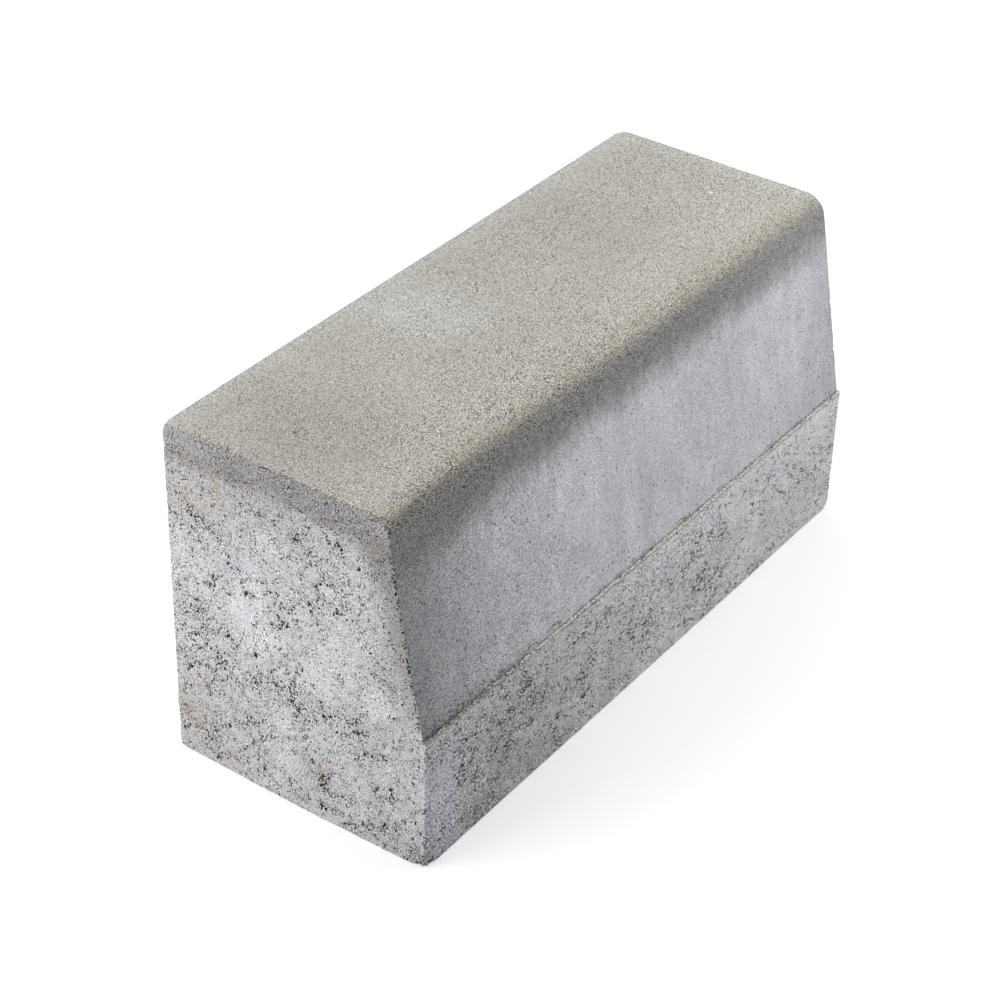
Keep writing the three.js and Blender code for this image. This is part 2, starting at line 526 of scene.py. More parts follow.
# %% [markdown]
# ## Out of true
#
# No kerb is quite the drawing. This one is dished by a millimetre at the top of its left end, bulges as
# much at the foot of that end where the mix slumped, and its nose is fuller there. The ledge falls a
# millimetre outwards. These are slow bends of space, applied to every vertex alike, so all panels follow
# and stay sewn.

# %% Slow bends
DISH = 0.0012
BULGE = 0.0013
FULLER_NOSE = 0.0017
NOSE_OUTWARD = (-0.64, 0.77)  # y and z of the direction in which the nose is fuller
LEDGE_FALL = 0.0010


def bump_at(value, centre, width):
    """A smooth bump, 1 at the centre: e to the power -((value - centre) / width) squared."""
    return np.exp(-(((value - centre) / width) ** 2))


def out_of_true(points):
    """Moves points near the left end: along X by the dish and the bulge, and outwards at the nose. Lowers
    the ledge, most at its lip."""
    x, y, z = points.T
    near_end = smoothstep(LEFT + 0.035, LEFT, x)
    dish = DISH * bump_at(y, 0.012, 0.034) * smoothstep(0.222, 0.250, z)
    bulge = BULGE * bump_at(y, 0.000, 0.055) * smoothstep(0.032, 0.0, z)
    fuller = FULLER_NOSE * near_end * bump_at(np.hypot(y + 0.0660, z - 0.2465), 0, 0.011)
    moved = points.copy()
    moved[:, 0] += near_end * (dish - bulge)
    moved[:, 1] += NOSE_OUTWARD[0] * fuller
    moved[:, 2] += NOSE_OUTWARD[1] * fuller
    outward = np.clip((FRONT + LEDGE_DEPTH - y) / LEDGE_DEPTH, 0, 1)
    near_ledge = smoothstep(BAND_HEIGHT - 0.010, BAND_HEIGHT - 0.001, z)
    moved[:, 2] -= LEDGE_FALL * outward * near_ledge * (z < BAND_HEIGHT + 0.0001)
    return moved


print(f"moved by up to {np.abs(out_of_true(skin_places) - skin_places).max() * 1000:.1f} mm")

# %% [markdown]
# ## Which skin is where
#
# Two kinds of skin meet on this stone. The top, the nose and the batter were pressed against steel: they
# are flat to a tenth of a millimetre. The ends, the back and the band are open-textured: the stiff mix
# bridged between its grains and left pores. One number tells them apart everywhere: how much the surface
# faces up, because only the pressed faces do.
#
# The stone is also made of two mixes: coarse backing concrete, and a layer of fine sandy face mix about an
# inch thick on top, which wraps over the nose. It shows on the open faces as a darker, closed strip.

# %% Skins and layers
FACE_MIX = 0.022
MARGIN = 0.012

facing_up = skin_facings[:, 2]
pressed = smoothstep(0.03, 0.14, facing_up)
on_bed = smoothstep(0.3, 0.9, -facing_up)


def face_mix_share(points):
    """1 in the sandy layer under the top, 0 below it. Its edge waves by a few millimetres."""
    flat = points * [1, 1, 0]
    waves = 0.0025 * hills(flat, 0.045, 61) + 0.0016 * hills(flat, 0.014, 62)
    return smoothstep(0.005, -0.006, HEIGHT - points[:, 2] - FACE_MIX - waves)


def batter_y(z):
    """Where the plane of the batter is at the height z."""
    return FRONT + LEDGE_DEPTH + (z - BAND_HEIGHT) * math.tan(BATTER_LEAN)


def closed_margin(points):
    """1 in the margins where the press squeezed paste out and closed the pores: a finger's width of the
    ends beside the batter, and of the band under its lip."""
    _, y, z = points.T
    beside_batter = smoothstep(1.5 * MARGIN, 0.4 * MARGIN, y - batter_y(z)) * (z > BAND_HEIGHT)
    below_lip = smoothstep(1.3 * MARGIN, 0.6 * MARGIN, BAND_HEIGHT - z)
    return np.maximum(0.75 * beside_batter, below_lip * (y < FRONT + 0.002) * (z < BAND_HEIGHT))


in_face_mix = face_mix_share(skin_places)
paste_closed = 1 - 0.85 * closed_margin(skin_places)
open_skin = (1 - pressed) * (1 - 0.85 * in_face_mix) * paste_closed * (1 - 0.7 * on_bed)
print(f"pressed {pressed.mean():.0%}, open {open_skin.mean():.0%}, face mix {in_face_mix.mean():.0%}")


# %% Distance to the nearest arris
def arris_distance(points):
    """How far a point of the skin is from the nearest edge, and from the nearest corner. Sorted by size,
    the distances to the walls give them: the two smallest meet at an edge, the three smallest in a corner,
    and the distance is the root of the sum of their squares."""
    x, y, z = points.T
    front = y - np.where(z > BAND_HEIGHT, batter_y(z), FRONT)
    walls = np.sort(np.stack([RIGHT - np.abs(x), BACK - y, np.abs(front), z, HEIGHT - z], axis=1), axis=1)
    return np.linalg.norm(walls[:, :2], axis=1), np.linalg.norm(walls[:, :3], axis=1)


to_edge, to_corner = arris_distance(skin_places)
to_lip = np.hypot(skin_places[:, 1] - FRONT, skin_places[:, 2] - BAND_HEIGHT)

# %% [markdown]
# ## Pores
#
# Stiff concrete is pressed, not poured, so its paste doesn't flow: it coats the sand and leaves pores
# where three or four grains meet. They crowd in bands round the larger stones, whose faces lie flush and
# closed, so the ends show islands of smooth paste between ragged rings of holes. That is what the three
# fields below say: where the mix is open, where its pores are, and where a ring tore into a short crack.
# Chance alone would not put an island or a tear where this stone has one, so the plainest of them are
# listed, in millimetres, and the random fields fill in between.

# %% Where the mix is open
STONE_SIZE = 0.0115
PORE_CELL = 0.0029
CLOSED_PLACES = [  # x, y and z of the middle, and the radius
    (-250, 20, 200, 9), (-250, 33, 150, 12), (-250, 43, 135, 9), (-250, 12, 127, 12),
    (-250, 33, 118, 13), (-250, -17, 107, 15), (-250, -33, 138, 15), (-250, -33, 160, 10),
    (-250, -57, 150, 10), (-250, -62, 110, 11), (-250, 10, 62, 9), (-250, -47, 37, 12),
    (-250, 7, 36, 11), (-237, -100, 56, 16), (-50, -100, 56, 11), (-37, -100, 29, 13),
    (27, -100, 43, 9), (50, -100, 23, 9), (133, -100, 39, 13),
]
OPEN_PLACES = [
    (-250, 28, 213, 7), (-250, -13, 197, 10), (-250, -20, 182, 8), (-250, 12, 158, 10),
    (-250, 67, 113, 11), (-250, 60, 67, 15), (-250, 22, 90, 12), (-250, 8, 89, 11), (-250, -17, 90, 11),
    (-250, 0, 76, 12), (-250, 45, 50, 15), (-250, -50, 87, 8), (-250, -17, 22, 10), (-250, 63, 18, 17),
    (-250, -63, 47, 11), (-250, -90, 12, 13), (-248, -99, 6, 10), (-210, -100, 66, 14),
    (-150, -100, 78, 14), (-133, -100, 60, 12), (-163, -100, 45, 12), (-117, -100, 22, 16),
    (-80, -100, 43, 12), (-20, -100, 40, 12), (0, -100, 14, 13), (60, -100, 74, 10), (68, -100, 41, 13),
    (83, -100, 56, 10), (88, -100, 32, 10), (127, -100, 57, 9), (190, -100, 56, 10),
]

END_SEAMS = [  # torn seams on the left end: y and z of one end, y and z of the other, and the width
    (78, 189, 74, 188, 1.6), (66, 188, 64, 185, 1.6), (29, 213, 24, 214, 2.5), (-33, 217, -38, 213, 2.2),
    (-38, 206, -48, 207, 1.8), (-10, 196, -14, 204, 1.8), (-2, 194, -9, 193, 1.5),
    (-18, 195, -26, 186, 2.0), (-57, 189, -62, 198, 1.8), (-17, 182, -19, 172, 2.2),
    (-31, 166, -38, 169, 1.6), (50, 166, 42, 158, 3.2), (38, 161, 34, 162, 1.3), (22, 157, 15, 161, 2.0),
    (15, 161, 8, 154, 2.2), (64, 144, 62, 156, 1.8), (72, 143, 64, 145, 1.8), (55, 144, 51, 143, 1.6),
    (39, 150, 32, 149, 2.0), (18, 144, 6, 140, 2.5), (18, 134, 12, 136, 2.5), (-14, 160, -21, 149, 2.0),
    (-47, 157, -49, 154, 1.3), (-62, 146, -71, 140, 1.6), (-61, 134, -78, 130, 2.4),
    (78, 104, 69, 113, 1.4), (90, 97, 80, 100, 1.5), (54, 112, 48, 104, 2.0), (39, 100, 32, 106, 2.0),
    (8, 102, 4, 104, 1.5), (30, 90, 20, 89, 1.3), (18, 87, 3, 93, 1.7), (3, 93, 0, 104, 1.7),
    (0, 104, -4, 113, 1.6), (-9, 93, -12, 97, 1.4), (-12, 97, -19, 93, 1.5), (-19, 93, -21, 84, 1.6),
    (-3, 85, -2, 72, 1.6), (-12, 80, -18, 73, 2.0), (-23, 82, -29, 75, 2.5), (-26, 85, -36, 90, 1.8),
    (38, 90, 34, 81, 1.8), (23, 82, 22, 77, 1.5), (90, 67, 83, 77, 2.2), (83, 77, 72, 78, 2.0),
    (72, 64, 64, 70, 2.0), (70, 74, 60, 80, 1.8), (60, 82, 48, 80, 2.4), (-38, 77, -44, 70, 1.6),
    (-44, 70, -49, 58, 1.6), (-55, 70, -70, 74, 3.0), (-4, 45, -13, 42, 2.0), (-18, 36, -22, 22, 2.0),
    (-22, 36, -26, 30, 1.8), (60, 34, 54, 38, 2.0), (53, 46, 50, 40, 1.5), (-74, 51, -77, 44, 2.0),
    (-92, 45, -99, 48, 1.8), (-55, 14, -70, 20, 2.5), (28, 21, 24, 12, 2.0), (45, 22, 40, 28, 1.6),
    (-20, 10, -35, 12, 2.5), (95, 15, 85, 22, 2.0), (85, 24, 76, 22, 2.0),
]
BAND_SEAMS = [  # the same on the band: x and z of both ends, and the width
    (52, 77, 62, 76, 1.4), (62, 76, 61, 68, 1.3), (61, 68, 67, 69, 1.4), (62, 63, 67, 59, 1.5),
    (75, 71, 77, 69, 1.1), (81, 66, 97, 58, 1.2), (83, 56, 93, 56, 1.2), (30, 62, 40, 56, 1.5),
    (34, 52, 40, 46, 1.5), (20, 49, 30, 54, 1.8), (60, 45, 65, 38, 2.0), (63, 36, 78, 34, 1.6),
    (76, 30, 90, 24, 1.5), (91, 32, 103, 35, 1.6), (97, 38, 103, 30, 1.2), (-102, 64, -98, 56, 1.4),
    (-98, 56, -91, 47, 1.3), (-120, 64, -115, 56, 1.5), (-137, 54, -129, 57, 1.5),
    (-140, 51, -136, 44, 2.0), (-166, 73, -163, 71, 1.3), (-152, 86, -140, 78, 3.0),
    (-162, 82, -152, 76, 2.5), (-132, 70, -128, 63, 1.8), (-25, 35, -17, 34, 1.4), (-25, 48, -20, 38, 2.2),
    (-14, 33, -10, 30, 1.4), (-88, 44, -75, 41, 2.0), (-82, 40, -77, 26, 2.2), (0, 40, 10, 37, 2.0),
    (13, 44, 18, 40, 1.5), (-2, 34, 6, 26, 2.2), (8, 24, 14, 18, 1.6), (25, 28, 33, 34, 1.8),
    (40, 16, 47, 14, 1.4), (45, 26, 60, 18, 2.0), (-60, 60, -50, 56, 1.8), (-45, 72, -34, 73, 1.6),
    (-30, 73, -22, 75, 1.4), (-94, 80, -82, 82, 2.0), (-68, 73, -64, 78, 1.5), (-215, 48, -194, 40, 3.6),
    (-175, 49, -158, 40, 2.8), (-220, 56, -205, 51, 2.5), (-246, 84, -238, 80, 1.6),
    (-215, 81, -200, 76, 2.8), (-212, 73, -208, 70, 1.5), (-150, 51, -142, 46, 2.0),
    (-110, 31, -100, 28, 2.0), (105, 81, 112, 76, 1.8), (120, 78, 124, 73, 1.4), (131, 66, 136, 58, 1.4),
    (140, 53, 146, 50, 1.6), (122, 56, 127, 52, 1.3), (160, 54, 166, 53, 1.5), (170, 56, 175, 51, 1.5),
    (188, 54, 200, 51, 1.8), (182, 38, 186, 37, 1.4), (226, 45, 230, 43, 1.4), (102, 6, 106, 4, 1.6),
]


def bent(points, amount, size, seed):
    """The points pushed about by hills, so that cells lose their straight borders."""
    push = np.stack([hills(points, size, seed + k) for k in range(3)], axis=1)
    return points + amount * push


def near_places(points, places):
    """1 in the middle of the nearest of the places, falling off as e to the power -(distance / radius)
    squared. The space is bent, so none of them is round."""
    place = bent(points, 0.0045, 0.014, 201)
    share = np.zeros(len(points))
    for x, y, z, radius in np.array(places) / 1000:
        squared = ((place - [x, y, z]) ** 2).sum(axis=1) / radius**2
        share = np.maximum(share, np.exp(-squared))
    return share


def along_seams(points):
    """1 on the nearest seam, falling off as e to the power -(distance / width) squared, in bent space."""
    place = bent(points, 0.0026, 0.0036, 205)
    share = np.zeros(len(points))
    seams = [(-250, y, z, -250, to_y, to_z, width) for y, z, to_y, to_z, width in END_SEAMS]
    seams += [(x, -100, z, to_x, -100, to_z, width) for x, z, to_x, to_z, width in BAND_SEAMS]
    for row in np.array(seams) / 1000:
        start, stop, width = row[:3], row[3:6], row[6]
        line = stop - start
        on_line = np.clip((place - start) @ line / (line @ line), 0, 1)
        squared = ((place - start - on_line[:, None] * line) ** 2).sum(axis=1) / width**2
        share = np.maximum(share, np.exp(-squared))
    return share


def openness(points):
    """0 where the mix closed, 1 where it is most open: slow clouds times the rings round the stones."""
    cloud = 0.42 + 0.24 * rough_hills(points, 0.030, 211, 3)
    cloud += 0.36 * near_places(points, OPEN_PLACES) - 0.50 * near_places(points, CLOSED_PLACES)
    cloud = np.clip(cloud, 0.04, 1)
    _, border, own = grains(bent(points, 0.0042, 0.010, 221), STONE_SIZE, 231)
    ring = smoothstep(0.45, 0.05, border) * (0.40 + 0.60 * own)
    return np.clip(0.40 * cloud + 0.85 * cloud * ring, 0, 1), border


def ball(distance, radius):
    """1 at the middle of a ball, falling to 0 at its rim as 1 - (distance / radius) squared."""
    return np.clip(1 - (distance / radius) ** 2, 0, 1)


def another_number(own):
    """A second repeatable number from 0 to 1, drawn out of a first one."""
    return own * 7.3 % 1.0


def pores(points, how_open):
    """Some cells of sand size hold a pore, more of them where the mix is open. A pore is a ball seen
    through bent space, with a radius of its own."""
    distance, _, own = grains(bent(points, 0.0012, 0.0024, 241), PORE_CELL, 251)
    radius = 0.22 + 0.20 * another_number(own)
    return np.where(own < 0.03 + 0.42 * how_open, ball(distance, radius), 0)


def cracks(points, border, how_open, seam):
    """Short ragged cracks: narrow stretches of the stones' borders where 6 mm hills are high, and the
    middles of the seams, both broken up by hills under 2 mm."""
    stretch = smoothstep(0.35, 0.60, hills(points, 0.006, 261)) * smoothstep(0.45, 0.8, how_open)
    ragged = smoothstep(-0.25, 0.25, hills(points, 0.0016, 262))
    broken = smoothstep(0.10, 0.45, hills(points, 0.0019, 263))
    along_border = smoothstep(0.11, 0.03, border) * stretch * ragged
    return np.maximum(along_border, smoothstep(0.35, 0.85, seam) * broken)


how_open, stone_border = openness(skin_places)
seam = along_seams(skin_places)
how_open = np.maximum(how_open, 0.95 * seam) * paste_closed
pore = pores(skin_places, how_open) * open_skin
crack = cracks(skin_places, stone_border, how_open, seam) * open_skin
print(f"pores on {(pore > 0.4).mean():.1%}, cracks on {(crack > 0.4).mean():.2%} of the vertices")

# %% Larger holes
BIG_HOLES = [  # x, y and z of the middle, and the radius, in millimetres
    (-250, -83, 30, 2.6), (-250, 66, 7, 2.4), (-250, 38, 53, 1.9), (-250, 22, 23, 1.7),
    (-250, -21, 24, 1.6), (-250, -31, 50, 1.6), (-250, -92, 16, 1.8), (-250, -96, 7, 1.5),
    (-246, -100, 9, 1.6), (-243, -100, 3, 1.4), (-250, -50, 120, 1.6), (-250, -59, 74, 1.5),
    (-250, 65, 188, 1.2), (-250, 26, 214, 1.4), (-250, -52, 178, 1.2), (-250, -14, 203, 1.2),
    (-250, -70, 141, 1.2), (-250, 58, 9, 1.4), (-250, 31, 8, 1.4), (-250, -36, 168, 1.3),
    (165, -100, 68, 1.5), (104, -100, 5, 1.8), (-163, -100, 72, 1.4), (241, -100, 88, 1.4),
    (-205, -100, 72, 1.8), (-83, -100, 43, 2.0), (67, -100, 36, 2.2), (61, -100, 76, 1.8),
    (150, -100, 58, 1.8), (-120, 100, 150, 2.4), (40, 100, 90, 2.8), (170, 100, 200, 2.0),
    (250, 30, 120, 2.6), (250, -40, 60, 2.2), (250, 60, 40, 2.0),
]


def big_holes(points):
    """Each larger hole is a ball on the surface, seen through bent space so that it isn't round."""
    place = bent(points, 0.0013, 0.0026, 271)
    depth = np.zeros(len(points))
    for x, y, z, radius in np.array(BIG_HOLES) / 1000:
        distance = np.linalg.norm(place - [x, y, z], axis=1)
        depth = np.maximum(depth, ball(distance, radius))
    return depth


big_hole = big_holes(skin_places) * (1 - pressed)
print(f"{len(BIG_HOLES)} larger holes")

# %% [markdown]
# ## Nicks
#
# Arrises of green concrete crumble when the stone is lifted off its pallet. The nicks are balls of several
# sizes cut out of the edge, one or two to the centimetre. Corners are worn more, and most of all the front
# corner at the foot of the left end.

# %% Crumbled edges
WORN_CORNER = [LEFT, FRONT, 0.003]


def nicks(points, edge):
    """Depth of the nicks from 0 to 1: some cells near an edge hold a ball that cuts it."""
    distance, _, own = grains(bent(points, 0.0008, 0.003, 281), 0.0032, 291)
    radius = 0.22 + 0.38 * another_number(own)
    return np.where(own < 0.42, ball(distance, radius), 0) * smoothstep(0.0030, 0.0008, edge)


nick = nicks(skin_places, np.minimum(to_edge, to_lip)) * (1 - on_bed)
corner_wear = smoothstep(0.0075, 0.001, to_corner)
from_worn_corner = np.linalg.norm(skin_places - WORN_CORNER, axis=1)
corner_wear += 2.0 * smoothstep(0.013, 0.002, from_worn_corner) * smoothstep(0.0075, 0.0005, to_edge)
print(f"nicks on {(nick > 0.3).mean():.1%} of the vertices")

# %% The ledge
LEDGE_LUMPS = [  # place along X and radius, in millimetres
    (-170, 1.6), (-136, 2.2), (-112, 3.0), (-58, 1.6), (-20, 1.5), (37, 2.0), (88, 1.8), (150, 1.6),
]


def groove_and_crumbs(points):
    """The ledge is where two parts of the mould met. Along its inner corner runs a fine groove, open here
    and there, and its face is crumbly, with a few lumps of paste in the corner: each one a ball at a place
    along X. The groove is 0 to 1, the crumbs -1 to 1 and up to 2.2 more in a lump."""
    x, y, z = points.T
    to_corner = np.hypot(y - (FRONT + LEDGE_DEPTH), z - BAND_HEIGHT)
    along_x = points * [1, 0, 0]
    open_here = smoothstep(-0.2, 0.5, rough_hills(along_x, 0.012, 341, 3))
    groove = smoothstep(0.0013, 0.0004, to_corner) * open_here
    from_middle = np.hypot(y - (FRONT + LEDGE_DEPTH / 2), 1.4 * (z - BAND_HEIGHT))
    crumbs = smoothstep(0.0036, 0.0020, from_middle) * hills(points, [0.0022, 0.0014, 0.0014], 351)
    for place, radius in np.array(LEDGE_LUMPS) / 1000:
        crumbs += 2.2 * ball(np.hypot(x - place, to_corner), radius)
    return groove, crumbs


groove, crumbs = groove_and_crumbs(skin_places)
print(f"groove on {(groove > 0.3).sum()} vertices")

# %% Add it all up
PORE_DEPTH = 0.0007
CRACK_DEPTH = 0.0008
BIG_HOLE_DEPTH = 0.0022
NICK_DEPTH = 0.0007
CORNER_WEAR = 0.0012
GROOVE_DEPTH = 0.0004
CRUMB_HEIGHT = 0.0005

swell = 0.00028 * hills(skin_places, 0.060, 301) + 0.00014 * hills(skin_places, 0.019, 302)
lumps = 0.00007 * rough_hills(skin_places, 0.0060, 311, 2) - 0.00018 * (how_open - 0.3)
flat_swell = 0.00020 * hills(skin_places, 0.110, 321) + 0.00003 * hills(skin_places, 0.012, 322)

cut = np.where(pressed > 0.5, flat_swell, swell) - open_skin * lumps
cut += PORE_DEPTH * pore + CRACK_DEPTH * crack + BIG_HOLE_DEPTH * big_hole
cut += NICK_DEPTH * nick + CORNER_WEAR * corner_wear * (1 + 0.5 * hills(skin_places, 0.004, 331))
cut += GROOVE_DEPTH * groove - CRUMB_HEIGHT * crumbs
hollow = np.clip(pore + crack + big_hole + 0.6 * nick + 0.3 * groove, 0, 1)
skin = out_of_true(skin_places) - skin_facings * cut[:, None]
print(f"cut from {cut.min() * 1000:.1f} to {cut.max() * 1000:.1f} mm, hollow {hollow.mean():.1%}")

# %% [markdown]
# ## Making the mesh
#
# The grids are fine enough for a pore of two millimetres all over the left end and the band, which is far
# more faces than the smooth parts need. Decimate in its collapse mode takes out the edges whose loss
# changes the shape least, so the faces that remain gather in the pores and along the arrises.

# %% Mesh from the arrays
TRIANGLES_KEPT = 190_000


def make_mesh(name, places, quads, triangles):
    """A mesh from one array of places and two of faces, shaded smooth."""
    mesh = bpy.data.meshes.new(name)
    mesh.from_pydata(places, [], quads.tolist() + triangles.tolist())
    mesh.shade_smooth()
    piece = bpy.data.objects.new(name, mesh)
    bpy.context.scene.collection.objects.link(piece)
    return piece


def keep_number(piece, name, values):
    """Stores one number for each vertex, which materials can read by its name."""
    piece.data.attributes.new(name, "FLOAT", "POINT").data.foreach_set("value", values.astype(np.float32))


def thin_out(piece, triangles):
    """Collapses edges until about that many triangles are left, and keeps the result as the mesh."""
    now = sum(len(face.vertices) - 2 for face in piece.data.polygons)
    decimate = piece.modifiers.new("thin_out", "DECIMATE")
    decimate.ratio = triangles / now
    decimate.use_collapse_triangulate = True
    graph = bpy.context.evaluated_depsgraph_get()
    thinned = bpy.data.meshes.new_from_object(piece.evaluated_get(graph), depsgraph=graph)
    piece.modifiers.clear()
    piece.data = thinned
    print(f"{piece.name}: {now} triangles thinned to {len(thinned.polygons)}")


kerb = make_mesh("kerb_skin", skin, skin_quads, skin_triangles)
keep_number(kerb, "pressed", pressed)
keep_number(kerb, "hollow", hollow)
keep_number(kerb, "how_open", how_open)
thin_out(kerb, TRIANGLES_KEPT)
kerb.data.shade_smooth()
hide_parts("kerb_stone")
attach(kerb, "root")

# %% [markdown]
# ## Writing a material
#
# The stone takes two materials, one for each kind of skin, and inside each of them masks say where a finish
# shows. A material is a network of small nodes, and wiring them by hand hides the recipe. So each kind of
# node gets a short verb that adds it and hands back its output, and the recipe then reads as a few lines of
# plain sums. Every pattern starts from Object coordinates, in metres, so it stays on the stone whatever
# the view.

# %% Verbs for nodes
class Recipe:
    """A material in the writing. Every verb adds a node or a few, and returns the last one's output."""

    def __init__(self, name):
        self.material = bpy.data.materials.new(name)
        self.material.use_nodes = True
        self.nodes = self.material.node_tree.nodes
        self.links = self.material.node_tree.links
        self.surface = self.nodes["Principled BSDF"]
        self.place = self.nodes.new("ShaderNodeTexCoord").outputs["Object"]

    def plug(self, socket, value):
        """Wires an output into a socket, or writes a plain value there."""
        if isinstance(value, bpy.types.NodeSocket):
            self.links.new(value, socket)
        else:
            socket.default_value = value

    def number(self, operation, *values):
        """A sum of numbers."""
        node = self.nodes.new("ShaderNodeMath")
        node.operation = operation
        for socket, value in zip(node.inputs, values):
            self.plug(socket, value)
        return node.outputs[0]

    def vector(self, operation, first, second, output="Vector"):
        """A sum of vectors, or of a vector and a number for SCALE."""
        node = self.nodes.new("ShaderNodeVectorMath")
        node.operation = operation
        self.plug(node.inputs[0], first)
        self.plug(node.inputs["Scale"] if operation == "SCALE" else node.inputs[1], second)
        return node.outputs[output]

    def stored(self, name):
        """A number kept on the mesh."""
        node = self.nodes.new("ShaderNodeAttribute")
        node.attribute_name = name
        return node.outputs["Fac"]

    def axes(self, vector):
        """The three numbers of a vector."""
        node = self.nodes.new("ShaderNodeSeparateXYZ")
        self.plug(node.inputs[0], vector)
        return node.outputs["X"], node.outputs["Y"], node.outputs["Z"]

    def between(self, value, low, high):
        """0 at low, 1 at high, level at both ends. low may be the larger one."""
        node = self.nodes.new("ShaderNodeMapRange")
        node.interpolation_type = "SMOOTHSTEP"
        self.plug(node.inputs["Value"], value)
        ends = (1, 0) if low > high else (0, 1)
        node.inputs["From Min"].default_value, node.inputs["From Max"].default_value = sorted((low, high))
        node.inputs["To Min"].default_value, node.inputs["To Max"].default_value = ends
        return node.outputs["Result"]

    def at_scale(self, size, place=None):
        """The place counted in units of size: one number, or one for each axis."""
        per_metre = 1 / np.broadcast_to(np.asarray(size, float), 3)
        return self.vector("MULTIPLY", place or self.place, tuple(per_metre))

    def noise(self, size, detail, roughness=0.5):
        """A noise texture about `size` across."""
        node = self.nodes.new("ShaderNodeTexNoise")
        self.plug(node.inputs["Vector"], self.at_scale(size))
        node.inputs["Scale"].default_value = 1
        node.inputs["Detail"].default_value = detail
        node.inputs["Roughness"].default_value = roughness
        return node

    def hills(self, size, detail, roughness=0.5):
        """Noise about `size` across, 0 to 1 and mostly near one half."""
        return self.noise(size, detail, roughness).outputs["Fac"]

    def bent(self, amount, size):
        """The place pushed about by up to `amount`, so that patterns lose their straight borders."""
        centred = self.vector("SUBTRACT", self.noise(size, 1).outputs["Color"], (0.5, 0.5, 0.5))
        return self.vector("ADD", self.place, self.vector("SCALE", centred, 2 * amount))

    def grains(self, size, place=None, feature="F1"):
        """Scattered grains: the distance to the nearest, and that grain's own random colour."""
        node = self.nodes.new("ShaderNodeTexVoronoi")
        node.feature = feature
        self.plug(node.inputs["Vector"], self.at_scale(size, place))
        node.inputs["Scale"].default_value = 1
        return node.outputs["Distance"], node.outputs.get("Color")

    def spot(self, centre, radius, place=None):
        """1 inside a spot around a centre, fading to 0 at the radius."""
        distance = self.vector("DISTANCE", place or self.place, centre, "Value")
        return self.between(distance, radius, 0.25 * radius)

    def mixed(self, share, first, second):
        """Two colours mixed: the first at share 0, the second at share 1."""
        node = self.nodes.new("ShaderNodeMix")
        node.data_type = "RGBA"
        self.plug(node.inputs["Factor"], share)
        for socket, value in ((node.inputs[6], first), (node.inputs[7], second)):
            self.plug(socket, value if isinstance(value, bpy.types.NodeSocket) else (*value, 1))
        return node.outputs[2]


# %% Verbs for sums and colours
class Finish(Recipe):
    """A recipe for a finish of the stone, with the sums and the fields that both finishes use."""

    def __init__(self, name, grain_size, sand_size):
        """Reads the place and the stored hollows. Scatters fine grains, each with its own brightness and
        tint, and coarser sand, which is positive near the middle of a grain and has a mean near 0."""
        super().__init__(name)
        self.x, self.y, self.z = self.axes(self.place)
        self.below_top = self.number("SUBTRACT", HEIGHT, self.z)
        self.hollow = self.stored("hollow")
        self.grain_distance, grain_colour = self.grains(grain_size)
        self.grain, self.rare, self.tint = self.axes(grain_colour)
        self.sand = self.number("SUBTRACT", 0.49, self.grains(sand_size)[0])

    def times(self, *values):
        """The product of several outputs or numbers."""
        return functools.reduce(lambda product, value: self.number("MULTIPLY", product, value), values)

    def plus(self, *values):
        """The sum of several outputs or numbers."""
        return functools.reduce(lambda total, value: self.number("ADD", total, value), values)

    def more(self, value, share, start=1.0):
        """start + share x value."""
        return self.number("MULTIPLY_ADD", value, share, start)

    def less(self, value, share=1.0):
        """1 - share x value."""
        return self.more(value, -share)

    def swing(self, value, amount):
        """A factor about 1, for a value about one half: 1 + amount x (value - 0.5)."""
        return self.more(value, amount, 1 - amount / 2)

    def speckle(self, of_grain, of_sand):
        """How much brighter than the mean a point is, by its own fine grain and by the coarse sand. Part of
        its strength is painted light and shade of the grains' relief.
        """
        by_grain = self.times(self.number("SUBTRACT", self.grain, 0.5), of_grain)
        return self.plus(by_grain, self.times(self.sand, of_sand))

    def covered(self, colour, tone, where, share):
        """The colour with a tone laid over it where the mask is 1, as densely as the share says."""
        return self.mixed(self.times(where, share), colour, tone)

    def dimmed(self, colour, factor):
        """A colour times a number."""
        return self.vector("SCALE", colour, factor)

    def darker(self, colour, where, share=1.0):
        """The colour dimmed by the share where the mask is 1."""
        return self.dimmed(colour, self.less(where, share))

    def lighter(self, colour, where, share):
        """The colour brightened by the share where the mask is 1."""
        return self.dimmed(colour, self.more(where, share))

    def finished(self, colour, tint_share, roughness, height):
        """Wires up the surface and returns the material. Each grain's tint shifts red one way and blue the
        other, by up to half the share, and the height in metres tilts the shading."""
        low, high = 1 - tint_share / 2, 1 + tint_share / 2
        tints = self.mixed(self.tint, (low, 1, high), (high, 1, low))
        self.plug(self.surface.inputs["Base Color"], self.vector("MULTIPLY", colour, tints))
        self.plug(self.surface.inputs["Roughness"], roughness)
        self.surface.inputs["Specular IOR Level"].default_value = 0.25
        bump = self.nodes.new("ShaderNodeBump")
        bump.inputs["Strength"].default_value = 1.0
        bump.inputs["Distance"].default_value = 1.0
        self.plug(bump.inputs["Height"], height)
        self.plug(self.surface.inputs["Normal"], bump.outputs["Normal"])
        print(f"{self.material.name}: {len(self.nodes)} nodes")
        return self.material
